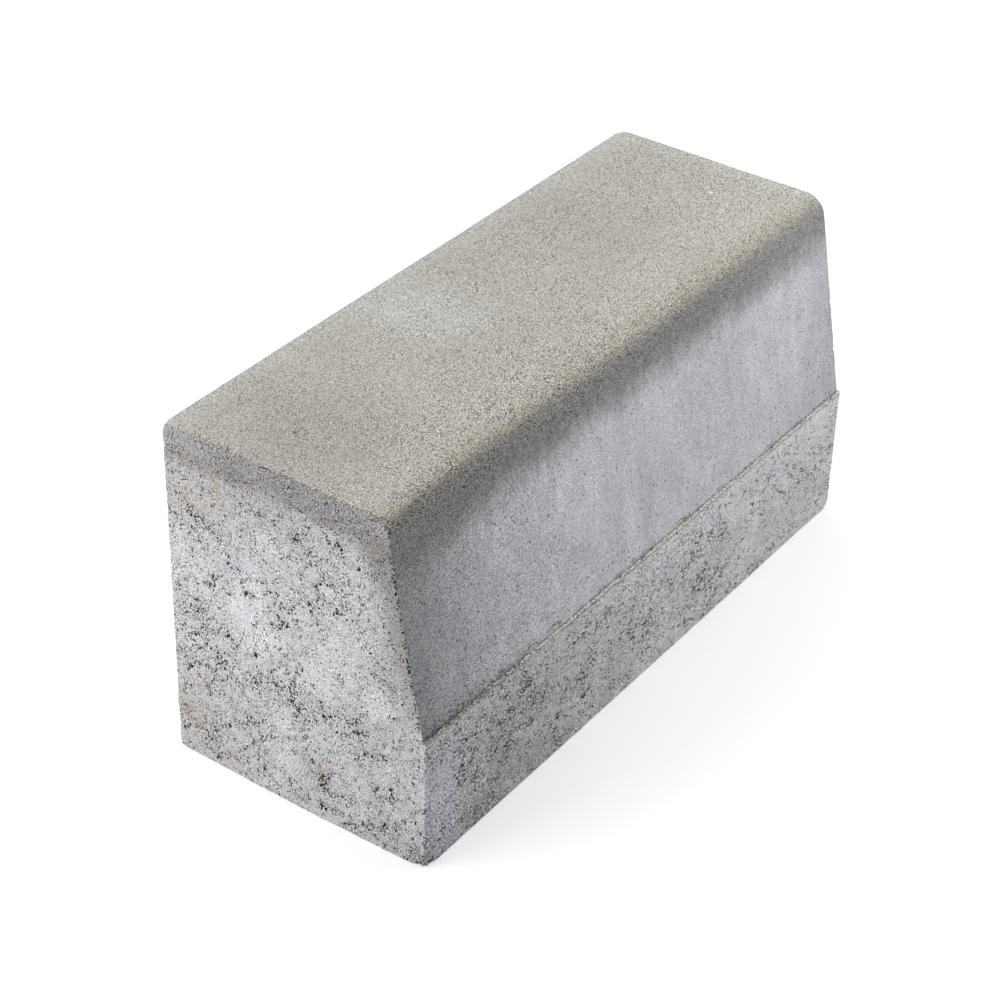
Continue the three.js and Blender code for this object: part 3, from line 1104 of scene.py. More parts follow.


# %% [markdown]
# ## The concrete
#
# Two materials share the stone, one for each kind of skin, and meet along the arrises:
#
# * pressed concrete: beige grey face mix on the top and nose, with its sand rubbed bare and a few brown
#   clouds; the pale, cool cement milk that the press squeezed down the batter, with streaks of its flow;
#   and a sandy dark strip between the two, where the face mix ends;
# * open concrete: the backing mix of the ends, the back and the band, a light paste, brightest where a
#   stone lies flush, with painted shade in every pore, under the darker edge of the layer of face mix.
#
# Sand is in both. Each grain of it, under a millimetre, has a brightness of its own: that is most of what
# tells concrete from plaster. Its contrast is set higher than the grains' own tone, as painted light and
# shade of their relief.

# %% [markdown]
# ### Face mix
#
# The top and the nose are the fine, sandy mix that a kerb is bought for. Its paste is worn off along the
# front, so the sand shows there, and a few clouds are browner or bleached. Each change is one tone laid
# over the last through a soft mask, as a painter glazes, so that each can be judged by itself. Colours are
# linear red, green and blue.

# %% Face mix
FACE_BEIGE = (0.525, 0.506, 0.460)
FACE_BROWN = (0.435, 0.405, 0.362)
FACE_BLEACHED = (0.592, 0.597, 0.582)
BACK_EDGE_TONE = (0.590, 0.590, 0.570)
FAR_EDGE_TONE = (0.590, 0.580, 0.550)
FRONT_TONE = (0.398, 0.385, 0.316)
NOSE_TONE = (0.382, 0.367, 0.294)
PALE_STONE_TONE = (0.860, 0.860, 0.840)
LEFT_GAP_SHADE = (0.200, 0.150, 0.120)
BROWN_CLOUDS = [  # place, radius, share
    ((-0.205, 0.020, HEIGHT), 0.080, 0.75),
    ((-0.200, 0.075, HEIGHT), 0.055, 0.50),
    ((0.110, 0.045, HEIGHT), 0.070, 0.35),
]
BLEACHED_PLACES = [(-0.050, 0.080, HEIGHT), (-0.048, 0.045, HEIGHT)]
PALE_STONE, TOP_PIT = (0.2067, -0.0033, HEIGHT), (-0.210, 0.030, HEIGHT)


def face_mix_colour(r):
    """Beige grey with brown and bleached clouds, paler at the back and far edges, olive over the nose.
    Painted shade darkens the nose towards the left end, a small pit, and a broken line along the left edge.
    """
    brown = r.times(r.between(r.clouds, 0.47, 0.64), 0.25)
    for place, reach, share in BROWN_CLOUDS:
        brown = r.number("MAXIMUM", brown, r.times(r.spot(place, reach), share))
    colour = r.mixed(brown, FACE_BEIGE, FACE_BROWN)
    for place in BLEACHED_PLACES:
        colour = r.covered(colour, FACE_BLEACHED, r.spot(place, 0.050), 0.60)
    colour = r.covered(colour, BACK_EDGE_TONE, r.between(r.y, 0.078, 0.098), 0.45)
    colour = r.covered(colour, FAR_EDGE_TONE, r.between(r.x, 0.225, 0.246), 0.45)
    colour = r.covered(colour, FRONT_TONE, r.between(r.y, FRONT + 0.050, FRONT + 0.040), 0.38)
    over_nose = r.between(r.below_top, 0.0003, 0.006)
    colour = r.covered(colour, NOSE_TONE, over_nose, 0.85)
    # Painted shade: the nose darker towards the left end, where the lamps reach it less.
    colour = r.darker(colour, r.times(over_nose, r.near_end), 0.38)
    colour = r.dimmed(colour, r.swing(r.patches, 0.10))
    rubbed = r.times(r.between(r.x, -0.060, 0.060), r.between(r.y, 0.000, -0.040))
    colour = r.dimmed(colour, r.more(rubbed, 0.06, 1.028))
    colour = r.lighter(colour, r.between(r.x, 0.120, 0.205), 0.04)

    colour = r.covered(colour, PALE_STONE_TONE, r.spot(PALE_STONE, 0.0034), 0.8)
    # A small pit on the top, drawn only as a darker spot of painted shade.
    colour = r.darker(colour, r.spot(TOP_PIT, 0.0026), 0.55)
    # A broken dark brown line along the left edge of the top: painted shade of the small gap at that arris.
    crumbs = r.between(r.hills(0.0016, detail=1), 0.46, 0.56)
    rim = r.times(r.between(r.x, LEFT + 0.0018, LEFT + 0.0008), crumbs)
    return r.covered(colour, LEFT_GAP_SHADE, rim, 0.70)


SANDY_DARK, SANDY_LIGHT = (0.275, 0.265, 0.264), (0.333, 0.322, 0.322)


def sandy_strip_colour(r):
    """Darker and coarser, where the face mix ends on the batter. Painted shade darkens it towards the left
    end, and painted light pales it towards the far end.
    """
    sandy = r.mixed(r.between(r.patches, 0.35, 0.65), SANDY_DARK, SANDY_LIGHT)
    sandy = r.darker(sandy, r.near_end, 0.14)
    return r.lighter(sandy, r.between(r.x, 0.060, 0.220), 0.17)


def sand_showing(r, colour):
    """The colour with its sand: strongest where wear took the paste off, along the front of the top and
    over the nose, and with a glint on a few larger grains."""
    worn_front = r.times(r.between(r.y, 0.020, -0.045), r.between(r.x, 0.090, -0.020), 0.25)
    at_back = r.times(r.between(r.y, 0.050, 0.095), -0.15)
    on_nose = r.times(r.between(r.y, FRONT + 0.052, FRONT + 0.040), r.between(r.below_top, 0.016, 0.008))
    under_nose = r.less(r.between(r.below_top, 0.012, 0.022), 0.15)
    worn = r.plus(worn_front, 1.0, at_back, r.times(on_nose, 0.12))
    bare = r.times(worn, r.swing(r.mottle, 1.1), under_nose)
    colour = r.dimmed(colour, r.more(r.speckle(0.75, 1.95), bare))
    chosen = r.number("LESS_THAN", r.dot_chance, 0.17)
    glint = r.times(chosen, r.between(r.dot_distance, 0.30, 0.16), bare)
    return r.lighter(colour, glint, 0.16)


# %% [markdown]
# ### Cement milk
#
# The press squeezes water and cement down the steel, where they dry to a thin, pale, cool crust. It is
# smooth, so what shows is its flow: fine streaks and broad runs, both made of noise that is many times
# taller than wide. A slow darkening towards the left end is painted shade, where the lamps reach the road
# face less. Small pits, darkened with painted shade, break it up.

# %% Cement milk
MILK_DARK, MILK_LIGHT = (0.600, 0.600, 0.642), (0.655, 0.655, 0.695)
PALE_MILK = [  # place, radius, share
    ((-0.068, -0.082, 0.184), 0.055, 0.09),
    ((0.190, -0.083, 0.176), 0.070, 0.14),
    ((-0.033, -0.076, 0.217), 0.022, 0.06),
    ((0.020, -0.078, 0.207), 0.050, 0.08),
    ((-0.180, -0.080, 0.196), 0.060, 0.05),
]
END_SHADE_REACH = 0.062  # the milk's darkness at the left end falls to a third within this


def milk_colour(r):
    """Pale and cool, with streaks and runs of its flow, a little darker before the far end, with painted
    shade towards the left end and by the far arris, and with dark grains, and dots darkened with painted
    shade."""
    milk = r.mixed(r.between(r.mottle, 0.36, 0.62), MILK_DARK, MILK_LIGHT)
    flow = r.plus(r.times(r.streaks, 0.26), r.times(r.runs, 0.28), r.times(r.patches, 0.20), 0.65)
    milk = r.dimmed(milk, flow)
    for place, reach, share in PALE_MILK:
        milk = r.lighter(milk, r.spot(place, reach), share)
    milk = r.dimmed(milk, r.more(r.speckle(0.55, 0.80), r.more(r.near_end, 0.75, 0.95)))
    # Painted shade: the milk darker towards the left end, where the lamps reach the road face less.
    wavy_x = r.more(r.clouds, 0.09, r.x)
    milk = r.darker(milk, r.between(wavy_x, -0.090, -0.205), 0.24)
    at_end = r.number("EXPONENT", r.more(r.x, -1 / END_SHADE_REACH, LEFT / END_SHADE_REACH))
    milk = r.darker(milk, at_end, 0.36)
    # A little darker before the far end, and painted shade by the rounded far arris.
    far_middle = r.times(r.between(r.x, 0.140, 0.195), r.between(r.below_top, 0.030, 0.080))
    far_arris_shade = r.times(r.between(r.x, 0.210, 0.250), r.between(r.below_top, 0.045, 0.085))
    milk = r.darker(r.darker(milk, far_middle, 0.09), far_arris_shade, 0.10)
    dark_grain = r.times(r.between(r.rare, 0.88, 0.92), r.between(r.patches, 0.30, 0.60))
    # Dark grains of the mix, and dots darkened with painted shade.
    return r.darker(r.darker(milk, dark_grain, 0.38), r.dot, 0.72)


def dots(r):
    """Small pits: a few of the larger grains, more at the left end and low on the batter. Their darkness is
    painted shade.
    """
    low_down = r.between(r.z, BAND_HEIGHT + 0.045, BAND_HEIGHT + 0.010)
    in_patch = r.between(r.patches, 0.5, 0.65)
    share = r.plus(r.times(r.near_end, 0.06), r.times(low_down, 0.08), r.times(in_patch, 0.10), 0.030)
    return r.times(r.number("LESS_THAN", r.dot_chance, share), r.between(r.dot_distance, 0.38, 0.26))


# %% [markdown]
# ### Foot of the batter and ledge
#
# Two parts of the mould met at the ledge, and paste crept into their joint. It shows as a thin warm line of
# crumbs with a gap behind it, dark with painted shade and dirt. The line is about a millimetre wide, less
# than the mesh can draw cleanly, so the material draws it, by how far a point stands out from the band's
# front and how high it is.

# %% Foot of the batter and ledge
LEDGE_PASTE, LEDGE_PASTE_AT_END = (0.745, 0.715, 0.630), (0.560, 0.535, 0.465)
LEDGE_GROOVE_SHADE_AND_DIRT = (0.150, 0.138, 0.098)
LUMP_TONE = (0.560, 0.540, 0.490)


def with_crumbly_foot(r, colour, crumbs):
    """The foot of the batter is crumbly near the left end, and its holes are darkened with painted shade.
    """
    foot = r.times(r.between(r.z, BAND_HEIGHT + 0.012, BAND_HEIGHT + 0.001), r.between(r.x, -0.080, -0.170))
    torn = r.plus(r.hills((0.0026, 0.0011, 0.0011), detail=1), r.times(foot, 0.09))
    colour = r.darker(colour, r.times(foot, r.between(crumbs, 0.36, 0.58)), 0.15)
    # Painted shade in the holes of the crumbly foot.
    return r.darker(colour, r.times(foot, r.between(torn, 0.63, 0.69)), 0.75)


def with_ledge(r, colour, crumbs, speck):
    """Paste on the ledge, crumbled into holes near the left end, and a dark line along its inner corner.
    The holes are painted shade, and the line is painted shade in the groove, with dirt.
    """
    out = r.plus(r.y, r.times(r.number("SUBTRACT", crumbs, 0.5), 0.0014), -FRONT)
    on_ledge = r.between(r.z, BAND_HEIGHT + 0.0007, BAND_HEIGHT + 0.0002)
    crumbly = r.more(r.between(r.x, -0.110, -0.190), 0.10, -0.03)
    holes = r.between(r.plus(speck, crumbly), 0.560, 0.610)
    paste = r.mixed(r.between(r.x, -0.120, -0.200), LEDGE_PASTE, LEDGE_PASTE_AT_END)
    # Holes in the paste, darkened with painted shade.
    paste = r.darker(r.dimmed(paste, r.swing(r.grain, 1.5)), holes, 0.75)
    colour = r.covered(colour, paste, on_ledge, r.between(out, 0.0021, 0.0014))
    # The dark line in the inner corner: painted shade in the groove, with dirt.
    line = r.times(on_ledge, r.between(out, 0.0028, 0.0024), r.between(out, 0.0012, 0.0016))
    return r.covered(colour, LEDGE_GROOVE_SHADE_AND_DIRT, r.times(line, r.between(speck, 0.34, 0.48)), 0.72)


def with_lumps(r, colour, speck):
    """Paste lumps in the ledge's corner, each with a broken dark rim of painted shade where it meets the
    corner. They are drawn out to twice their width, because x counts half."""
    push = r.vector("SUBTRACT", r.bent(0.0016, 0.0020), r.place)
    squeezed = r.vector("ADD", r.at_scale((2.0, 1.0, 1.0)), push)
    lump = 0.0
    for place, radius in LEDGE_LUMPS:
        corner = (place / 1000 / 2, FRONT + LEDGE_DEPTH, BAND_HEIGHT)
        lump = r.number("MAXIMUM", lump, r.spot(corner, 1.5 * radius / 1000, squeezed))
    colour = r.covered(colour, LUMP_TONE, r.between(lump, 0.45, 0.70), 0.45)
    above_ledge = r.between(r.z, BAND_HEIGHT - 0.0002, BAND_HEIGHT + 0.0010)
    # The rim round each lump: painted shade where it meets the corner.
    around = r.times(r.between(lump, 0.03, 0.15), r.between(lump, 0.70, 0.40), above_ledge)
    return r.darker(colour, r.times(around, r.between(speck, 0.36, 0.50)), 0.85)


# %% Pressed concrete
def pressed_concrete():
    """Face mix, sandy strip and milk one below the other, and the ledge at the foot."""
    r = Finish("pressed_concrete", grain_size=0.00052, sand_size=0.00070)
    r.patches = r.hills(0.0042, detail=2, roughness=0.6)
    r.clouds = r.hills(0.055, detail=3)
    r.mottle = r.hills(0.020, detail=3, roughness=0.6)
    r.streaks = r.hills((0.0022, 0.0022, 0.045), detail=2, roughness=0.6)
    r.runs = r.hills((0.011, 0.011, 0.100), detail=2)
    r.dot_distance, dot_colour = r.grains(0.0021)
    r.dot_chance = r.axes(dot_colour)[0]
    r.near_end = r.between(r.x, 0.020, -0.225)
    r.dot = dots(r)

    wavy_depth = r.plus(r.below_top, r.times(r.patches, 0.008))
    top = r.mixed(r.between(wavy_depth, 0.006, 0.014), face_mix_colour(r), sandy_strip_colour(r))
    waves = r.plus(r.times(r.mottle, 0.015), r.times(r.runs, 0.012), r.times(r.streaks, 0.006))
    lower_at_end = r.times(r.between(r.x, -0.110, -0.230), -0.009)
    milk_share = r.between(r.plus(r.below_top, waves, lower_at_end), 0.035, 0.065)
    colour = r.mixed(milk_share, sand_showing(r, top), milk_colour(r))

    crumbs = r.hills((0.0050, 0.0018, 0.0018), detail=2, roughness=0.6)
    speck = r.hills((0.0024, 0.0011, 0.0011), detail=1, roughness=0.6)
    colour = with_crumbly_foot(r, colour, crumbs)
    colour = with_lumps(r, with_ledge(r, colour, crumbs, speck), speck)
    # Painted shade in the hollows the mesh holds: its nicks and the ledge's groove.
    colour = r.darker(colour, r.hollow, 0.75)

    smoother = r.less(r.between(r.below_top, 0.030, 0.050), 0.6)
    sand_height = r.times(r.less(r.grain_distance, 0.8), smoother, 0.00013)
    height = r.more(r.dot, -0.0004, sand_height)
    return r.finished(colour, 0.10, r.more(milk_share, -0.12, 0.92), height)


# %% [markdown]
# ### Open skin
#
# The ends, the back and the band show the same backing mix, so they share one recipe. What differs is where
# on the stone they are, so the masks come first, and every later step asks them: how near is the batter, is
# this the band, is this the layer of face mix, how crowded are the pores?

# %% Masks of the open skin
def mark_open_skin(r):
    """Where the layer of face mix shows, where the press drew paste along the batter and closed the skin,
    the crumbly arrises, the band, and how crowded the pores are: by the stored field, and in rings round
    the stones."""
    layer = r.plus(r.times(r.clouds, 0.016), r.times(r.patches, 0.014), FACE_MIX - 0.0164)
    r.face_mix = r.between(r.number("SUBTRACT", layer, r.below_top), -0.0080, 0.0060)
    r.wavy_depth = r.plus(r.below_top, r.times(r.patches, 0.008))

    from_batter = r.plus(r.y, r.more(r.below_top, math.tan(BATTER_LEAN), -(FRONT + TOP_SETBACK)))
    r.ragged_margin = r.more(r.patches, 0.010, from_batter)
    r.above_band = r.between(r.z, BAND_HEIGHT + 0.002, BAND_HEIGHT + 0.010)
    higher = r.more(r.between(r.z, BAND_HEIGHT + 0.005, BAND_HEIGHT + 0.090), 0.55, 0.45)
    r.beside_batter = r.times(r.between(r.ragged_margin, 0.040, 0.010), r.above_band, higher)
    above_ledge = r.between(r.z, BAND_HEIGHT, BAND_HEIGHT + 0.010)
    along_batter = r.times(r.between(from_batter, 0.0036, 0.0018), above_ledge)
    r.at_arris = r.number("MAXIMUM", along_batter, r.times(r.between(r.below_top, 0.0022, 0.0008), 0.6))

    on_front = r.between(r.y, FRONT + 0.0022, FRONT + 0.0012)
    r.on_band = r.times(on_front, r.between(r.z, BAND_HEIGHT + 0.001, BAND_HEIGHT - 0.001))
    r.far_band = r.times(r.on_band, r.between(r.x, 0.020, 0.160))

    border = r.grains(STONE_SIZE, r.bent(0.0042, 0.0100), feature="DISTANCE_TO_EDGE")[0]
    ring = r.between(border, 0.20, 0.02)
    crowded = r.plus(r.times(r.between(r.how_open, 0.20, 0.85), 0.75), r.times(ring, 0.45))
    r.crowded = r.times(crowded, r.less(r.beside_batter, 0.6))


# %% Backing mix
BACKING_DARK, BACKING_LIGHT = (0.812, 0.796, 0.826), (0.893, 0.878, 0.917)
BACKING_WARM = (0.655, 0.622, 0.585)
RUST = (0.560, 0.420, 0.290)
RUST_SPOTS = [(LEFT, 0.078, 0.063), (LEFT, 0.093, 0.033), (LEFT, -0.018, 0.040), (LEFT, 0.060, 0.222)]


def backing_colour(r):
    """Pale paste, warmer high up and low down, brighter where it closed, with a few rusty spots."""
    pale = r.between(r.plus(r.times(r.clouds, 0.6), r.times(r.how_open, -0.40)), 0.12, 0.34)
    backing = r.mixed(pale, BACKING_DARK, BACKING_LIGHT)
    high_or_low = r.plus(r.between(r.z, 0.165, 0.205), r.between(r.z, 0.095, 0.025))
    left_back = r.times(r.between(r.y, 0.010, 0.090), r.between(r.x, LEFT + 0.020, LEFT + 0.002), 0.58)
    warm = r.times(high_or_low, r.plus(r.times(r.between(r.slow_clouds, 0.46, 0.62), 0.25), left_back))
    backing = r.mixed(warm, backing, BACKING_WARM)
    closed = r.times(r.between(r.how_open, 0.17, 0.05), 0.06)
    backing = r.dimmed(backing, r.plus(closed, r.times(r.between(r.y, 0.030, 0.080), 0.03), 1.0))
    off_band = r.between(r.y, FRONT + 0.0015, FRONT + 0.0040)
    beside_front = r.times(off_band, r.between(r.y, FRONT + 0.115, FRONT + 0.045))
    backing = r.darker(backing, r.times(beside_front, r.between(r.z, 0.180, 0.150)), 0.10)
    rust = r.times(r.between(r.patches, 0.60, 0.68), r.between(r.slow_clouds, 0.50, 0.58))
    for place in RUST_SPOTS:
        spot = r.times(r.spot(place, 0.008), r.between(r.patches, 0.35, 0.60))
        rust = r.number("MAXIMUM", rust, spot)
    return r.covered(backing, RUST, rust, 0.50)


BAND_DARK, BAND_LIGHT = (0.700, 0.674, 0.704), (0.815, 0.797, 0.832)
BAND_BROWN = (0.680, 0.635, 0.620)
BAND_BLUISH = (0.890, 0.880, 1.000)
BAND_UPPER = (0.845, 0.828, 0.868)
BLUISH_PLACES = [((-0.238, FRONT, 0.056), 0.036), ((-0.234, FRONT, 0.024), 0.024)]  # place, radius
# Painted shade and light along the band: darker at the left end, where the lamps reach it less, with its
# brightness changing step by step along X.
BAND_PAINTED_SHADE_AT_LEFT = 0.742
BAND_PAINTED_LIGHT_ALONG_X = [  # from and to along X, and how much brighter the band gets on the way
    (-0.245, 0.180, 0.340),
    (0.212, 0.240, -0.060),
    (-0.160, -0.020, 0.035),
    (0.030, 0.160, -0.070),
]


def band_colour(r):
    """The same mix, darker and mauve on the band. Along X it is darker towards the left end and brighter
    towards the far end: painted shade and light.
    """
    tone = r.mixed(r.between(r.clouds, 0.40, 0.58), BAND_DARK, BAND_LIGHT)
    tone = r.covered(tone, BAND_BROWN, r.between(r.slow_clouds, 0.48, 0.62), 0.28)
    for place, reach in BLUISH_PLACES:
        tone = r.covered(tone, BAND_BLUISH, r.spot(place, reach), 0.85)
    tone = r.covered(tone, BAND_UPPER, r.between(r.z, BAND_HEIGHT - 0.052, BAND_HEIGHT - 0.012), 0.65)
    along = BAND_PAINTED_SHADE_AT_LEFT
    for start, stop, change in BAND_PAINTED_LIGHT_ALONG_X:
        along = r.more(r.between(r.x, start, stop), change, along)
    return r.dimmed(tone, along)


# %% Edge of the face mix, and paste along the batter
STRIP_UPPER, STRIP_LOWER = (0.436, 0.421, 0.425), (0.385, 0.359, 0.338)
DRAWN_PASTE = (0.575, 0.548, 0.534)
ARRIS_PASTE = (0.405, 0.388, 0.375)


def with_face_mix_strip(r, colour):
    """A darker strip under the top, thinner towards the back, and darker paste beside the batter."""
    colour = r.mixed(r.beside_batter, colour, DRAWN_PASTE)
    margin = r.more(r.between(r.z, 0.190, 0.228), -0.011, r.ragged_margin)
    fading = r.less(r.between(r.z, 0.180, 0.110), 0.55)
    near_arris = r.times(r.between(margin, 0.022, 0.009), r.above_band, fading)
    colour = r.covered(colour, ARRIS_PASTE, near_arris, 0.80)
    colour = r.darker(colour, r.between(r.below_top, 0.056, 0.026), 0.11)
    lower_edge = r.between(r.wavy_depth, 0.014, 0.024)
    by_nose = r.times(r.between(r.y, -0.018, -0.048), r.between(r.below_top, 0.016, 0.008))
    strip = r.lighter(r.mixed(lower_edge, STRIP_UPPER, STRIP_LOWER), by_nose, 0.12)
    thin = r.between(r.y, 0.040, 0.092)
    share = r.plus(r.times(thin, -0.34), r.times(thin, lower_edge, 0.22), 0.96)
    return r.covered(colour, strip, r.face_mix, share)


# %% [markdown]
# ### Pits
#
# The mesh holds the pores of about two millimetres and more. Half a millimetre would take millions of
# faces, so the material sinks the smaller ones by bump and darkens them with painted shade, the shade that
# falls in a pore. There are two kinds, because one alone looks like a pattern: torn pits, where noise
# passes a threshold, and round ones, in some cells of a scatter.

# %% Pits too small for the mesh
def ragged_pits(r):
    """Torn pits: where fine hills, raised by how crowded the place is, pass a threshold."""
    torn = r.plus(r.ragged, r.times(r.crowded, 0.128), r.times(r.patches, 0.14), r.times(r.clumps, 0.175))
    torn = r.plus(torn, r.times(r.far_band, -0.020), -0.180, r.times(r.face_mix, -0.10))
    torn = r.plus(torn, r.times(r.at_arris, 0.14), r.times(r.hollow, 0.16))
    return r.between(torn, 0.668, 0.682)


def round_pores(r):
    """Little balls in some cells of a scatter, more of them where the pores are crowded."""
    distance, colour = r.grains((0.0030, 0.0017, 0.0018), r.bent(0.0008, 0.0013))
    own_chance, own_size, _ = r.axes(colour)
    tight = r.between(r.plus(r.crowded, r.times(r.hollow, 0.5), r.times(r.clumps, 0.8)), 0.55, 1.40)
    chance = r.plus(r.times(tight, 0.40), r.times(r.between(r.clumps, 0.38, 0.52), 0.10), 0.015)
    chance = r.times(chance, r.less(r.face_mix, 0.7), r.less(r.far_band, 0.45))
    depth = r.between(r.number("SUBTRACT", r.more(own_size, 0.20, 0.23), distance), 0.0, 0.07)
    return r.times(r.number("LESS_THAN", own_chance, chance), depth)


# %% Open concrete
LIP_TONE = (0.470, 0.445, 0.385)


def open_concrete():
    """Backing mix, the band's tone and the face mix's edge, then sand, grit and pits over all of them."""
    r = Finish("open_concrete", grain_size=(0.0009, 0.00052, 0.0007), sand_size=(0.0010, 0.0008, 0.0008))
    r.how_open = r.stored("how_open")
    r.patches = r.hills(0.0050, detail=2, roughness=0.6)
    r.clouds = r.hills(0.030, detail=3)
    r.slow_clouds = r.hills(0.070, detail=1)
    r.clumps = r.hills((0.0150, 0.0080, 0.0080), detail=1, roughness=0.6)
    r.ragged = r.hills((0.0030, 0.0014, 0.0015), detail=1, roughness=0.6)
    grit = r.hills((0.0022, 0.0012, 0.0015), detail=2, roughness=0.65)
    mark_open_skin(r)

    colour = r.covered(backing_colour(r), band_colour(r), r.on_band, 0.96)
    wavy_z = r.plus(r.z, r.times(r.patches, 0.0016))
    at_lip = r.between(wavy_z, BAND_HEIGHT - 0.0032, BAND_HEIGHT - 0.0012)
    on_lip = r.times(at_lip, r.between(r.y, FRONT + 0.004, FRONT + 0.003))
    # A darker, warmer strip along the top of the band, just under the lip.
    colour = r.covered(colour, LIP_TONE, on_lip, 0.85)
    colour = with_face_mix_strip(r, colour)

    in_clump = r.between(r.clumps, 0.38, 0.56)
    sparkle = r.plus(r.times(r.crowded, 0.70), r.times(r.face_mix, 0.45), r.times(in_clump, 0.45), 0.30)
    on_band = r.times(r.on_band, r.more(r.between(r.x, -0.090, -0.230), 0.40, 0.04))
    sparkle = r.plus(sparkle, on_band, r.times(r.far_band, -0.30))
    colour = r.dimmed(colour, r.more(r.speckle(0.70, 1.60), sparkle))
    colour = r.dimmed(colour, r.swing(r.patches, 0.08))
    # Painted light and shade of the grit's relief: lighter on its tops, darker in its hollows, more so
    # where the pores crowd.
    colour = r.lighter(colour, r.between(grit, 0.50, 0.38), 0.10)
    colour = r.darker(colour, r.times(r.between(grit, 0.56, 0.70), r.more(r.crowded, 0.26, 0.09)))

    # Painted shade in the pits too small for the mesh, a little less dark on the band.
    darkness = r.more(r.on_band, -0.20, 0.97)
    pore = round_pores(r)
    colour = r.darker(colour, r.times(r.number("MAXIMUM", ragged_pits(r), pore), darkness))
    # Painted shade in the hollows the mesh holds, and where fine torn noise runs high beside them.
    ragged_hollow_shade = r.between(r.plus(r.times(r.hollow, 0.65), r.times(r.ragged, 1.60)), 1.38, 1.50)
    colour = r.darker(colour, r.times(ragged_hollow_shade, darkness), 0.78)

    rough = r.times(grit, r.more(r.how_open, -0.0014, -0.0012))
    sunken = r.times(r.how_open, -0.0005)
    torn = r.plus(r.ragged, r.times(r.how_open, 0.100), r.times(r.clumps, 0.20), -0.130)
    deep = r.number("ADD", r.times(pore, -0.0009), r.times(r.between(torn, 0.635, 0.700), -0.0009))
    height = r.plus(rough, sunken, deep, r.times(r.grain_distance, -0.00036))
    return r.finished(colour, 0.09, 0.93, height)


# %% Give each face its finish
def finish_faces(piece):
    """A face takes the pressed finish where the mean of its corners says so, and the open one elsewhere."""
    mesh = piece.data
    mesh.materials.clear()
    mesh.materials.append(pressed_concrete())
    mesh.materials.append(open_concrete())
    value = np.zeros(len(mesh.vertices), np.float32)
    mesh.attributes["pressed"].data.foreach_get("value", value)
    corners = np.zeros(len(mesh.loops), np.int32)
    mesh.loops.foreach_get("vertex_index", corners)
    first = np.zeros(len(mesh.polygons), np.int32)
    mesh.polygons.foreach_get("loop_start", first)
    mean = np.add.reduceat(value[corners], first) / np.diff(np.append(first, len(corners)))
    mesh.polygons.foreach_set("material_index", (mean < 0.5).astype(np.int32))
    print(f"{(mean >= 0.5).mean():.0%} of the faces are pressed")


finish_faces(kerb)

# %% [markdown]
# ## Studio
#
# Three softboxes and a pale sky. One stands overhead and behind, for the top; one to the left, for the end;
# and a small one close to the far end of the road face, so that face brightens towards it. The floor is
# plain paper: it looks white to the camera but sends back only half the light, as grey card would, and it
# keeps the stone's shadow. Less light reaches it far away, so its glow grows there to keep it white.

# %% Floor, sky and lamps
FLOOR_REACH = 8.0
PAPER_SEEN, PAPER_SENDING = (0.8, 0.8, 0.8), (0.5, 0.5, 0.5)
FLOOR_GLOW, FAR_GLOW = 0.42, 0.56
GLOW_GROWS = (0.9, 3.0)  # metres from the stone
SKY = 0.57


def backdrop_rays(tree):
    """1 for a ray that should find the white backdrop, because it comes from the camera, a gloss or a
    glass, and 0 for all other light: the largest of Light Path's three answers."""
    path = tree.nodes.new("ShaderNodeLightPath")
    found = path.outputs["Is Camera Ray"]
    for answer in ("Is Glossy Ray", "Is Transmission Ray"):
        larger = tree.nodes.new("ShaderNodeMath")
        larger.operation = "MAXIMUM"
        tree.links.new(found, larger.inputs[0])
        tree.links.new(path.outputs[answer], larger.inputs[1])
        found = larger.outputs[0]
    return found


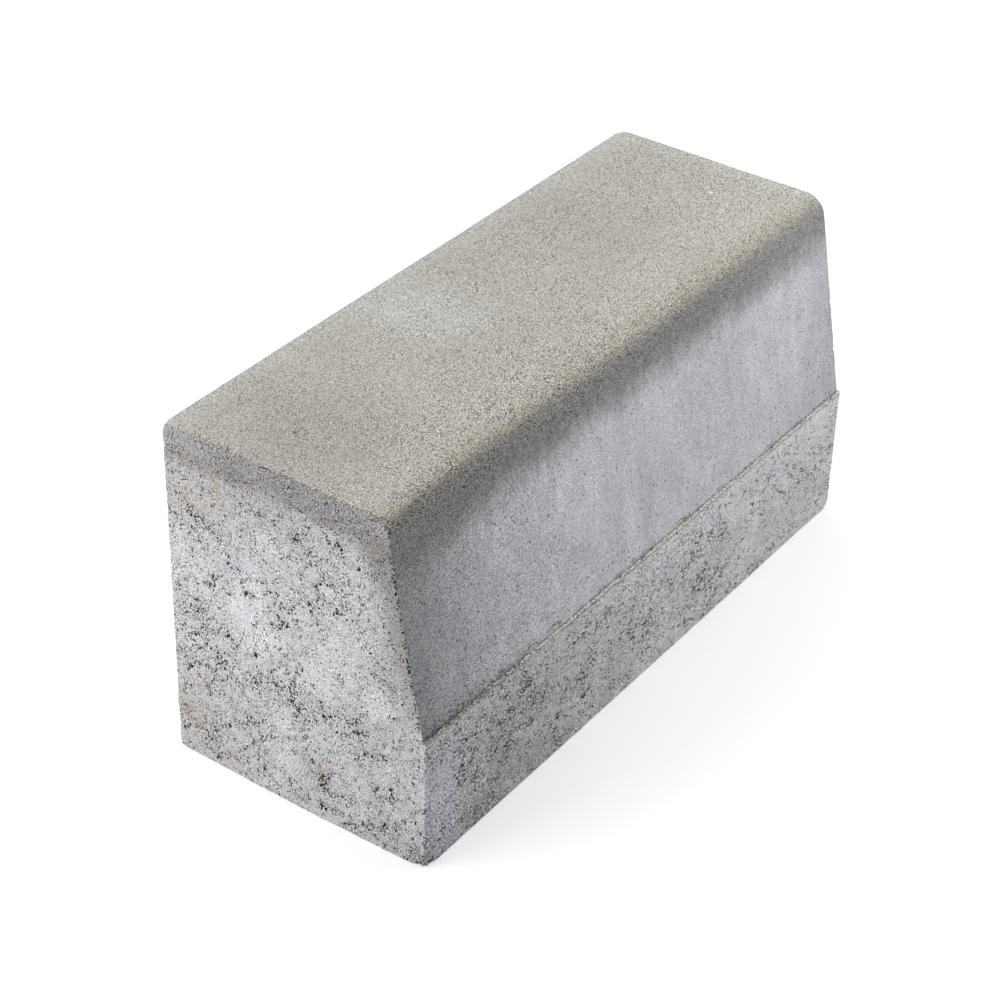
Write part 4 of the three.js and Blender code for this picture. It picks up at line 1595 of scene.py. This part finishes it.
def make_floor():
    """A square sheet of paper at z = 0, white for the camera and half as bright for the light it sends. The
    camera sees it glow, more so far away."""
    corners = [(-1, -1), (1, -1), (1, 1), (-1, 1)]
    mesh = bpy.data.meshes.new("studio_floor")
    mesh.from_pydata([(FLOOR_REACH * x, FLOOR_REACH * y, 0) for x, y in corners], [], [(0, 1, 2, 3)])
    floor = bpy.data.objects.new("studio_floor", mesh)
    bpy.context.scene.collection.objects.link(floor)
    r = Recipe("white_paper")
    seen = backdrop_rays(r.material.node_tree)
    far = r.between(r.vector("DISTANCE", r.place, (0, 0, 0), "Value"), *GLOW_GROWS)
    glow = r.number("MULTIPLY_ADD", far, FAR_GLOW - FLOOR_GLOW, FLOOR_GLOW)
    r.plug(r.surface.inputs["Base Color"], r.mixed(seen, PAPER_SENDING, PAPER_SEEN))
    r.plug(r.surface.inputs["Emission Strength"], r.number("MULTIPLY", seen, glow))
    r.surface.inputs["Emission Color"].default_value = (1, 1, 1, 1)
    r.surface.inputs["Roughness"].default_value = 1.0
    r.surface.inputs["Specular IOR Level"].default_value = 0.0
    mesh.materials.append(r.material)


def softbox(name, place, aim, side, power):
    """A square lamp of that side at a place, facing the point aim. The camera doesn't see it."""
    data = bpy.data.lights.new(name, "AREA")
    data.size = side
    data.energy = power
    lamp = bpy.data.objects.new(name, data)
    turn = (Vector(aim) - Vector(place)).to_track_quat("-Z", "Y").to_matrix().to_4x4()
    lamp.matrix_world = Matrix.Translation(place) @ turn
    lamp.visible_camera = False
    bpy.context.scene.collection.objects.link(lamp)


def make_sky():
    """White where the camera, a gloss or a glass sees it, and dimmer as a light."""
    world = bpy.data.worlds.new("studio_sky")
    bpy.context.scene.world = world
    world.use_nodes = True
    nodes, links = world.node_tree.nodes, world.node_tree.links
    strength = nodes.new("ShaderNodeMix")
    strength.inputs["A"].default_value = SKY
    strength.inputs["B"].default_value = 1.0
    links.new(backdrop_rays(world.node_tree), strength.inputs["Factor"])
    background = nodes["Background"]
    background.inputs["Color"].default_value = (1, 1, 1, 1)
    links.new(strength.outputs["Result"], background.inputs["Strength"])


make_floor()
make_sky()
softbox("overhead_softbox", (0.7, 0.8, 1.7), aim=(0, 0, 0.10), side=1.2, power=6.4)
softbox("left_softbox", (-1.6, 0.9, 0.9), aim=(0, 0, 0.12), side=1.2, power=18.0)
softbox("right_softbox", (0.75, -0.75, 0.55), aim=(0.15, -0.05, 0.12), side=0.5, power=3.04)
bpy.context.scene.view_settings.view_transform = "Standard"
print("three softboxes, a floor and a sky")
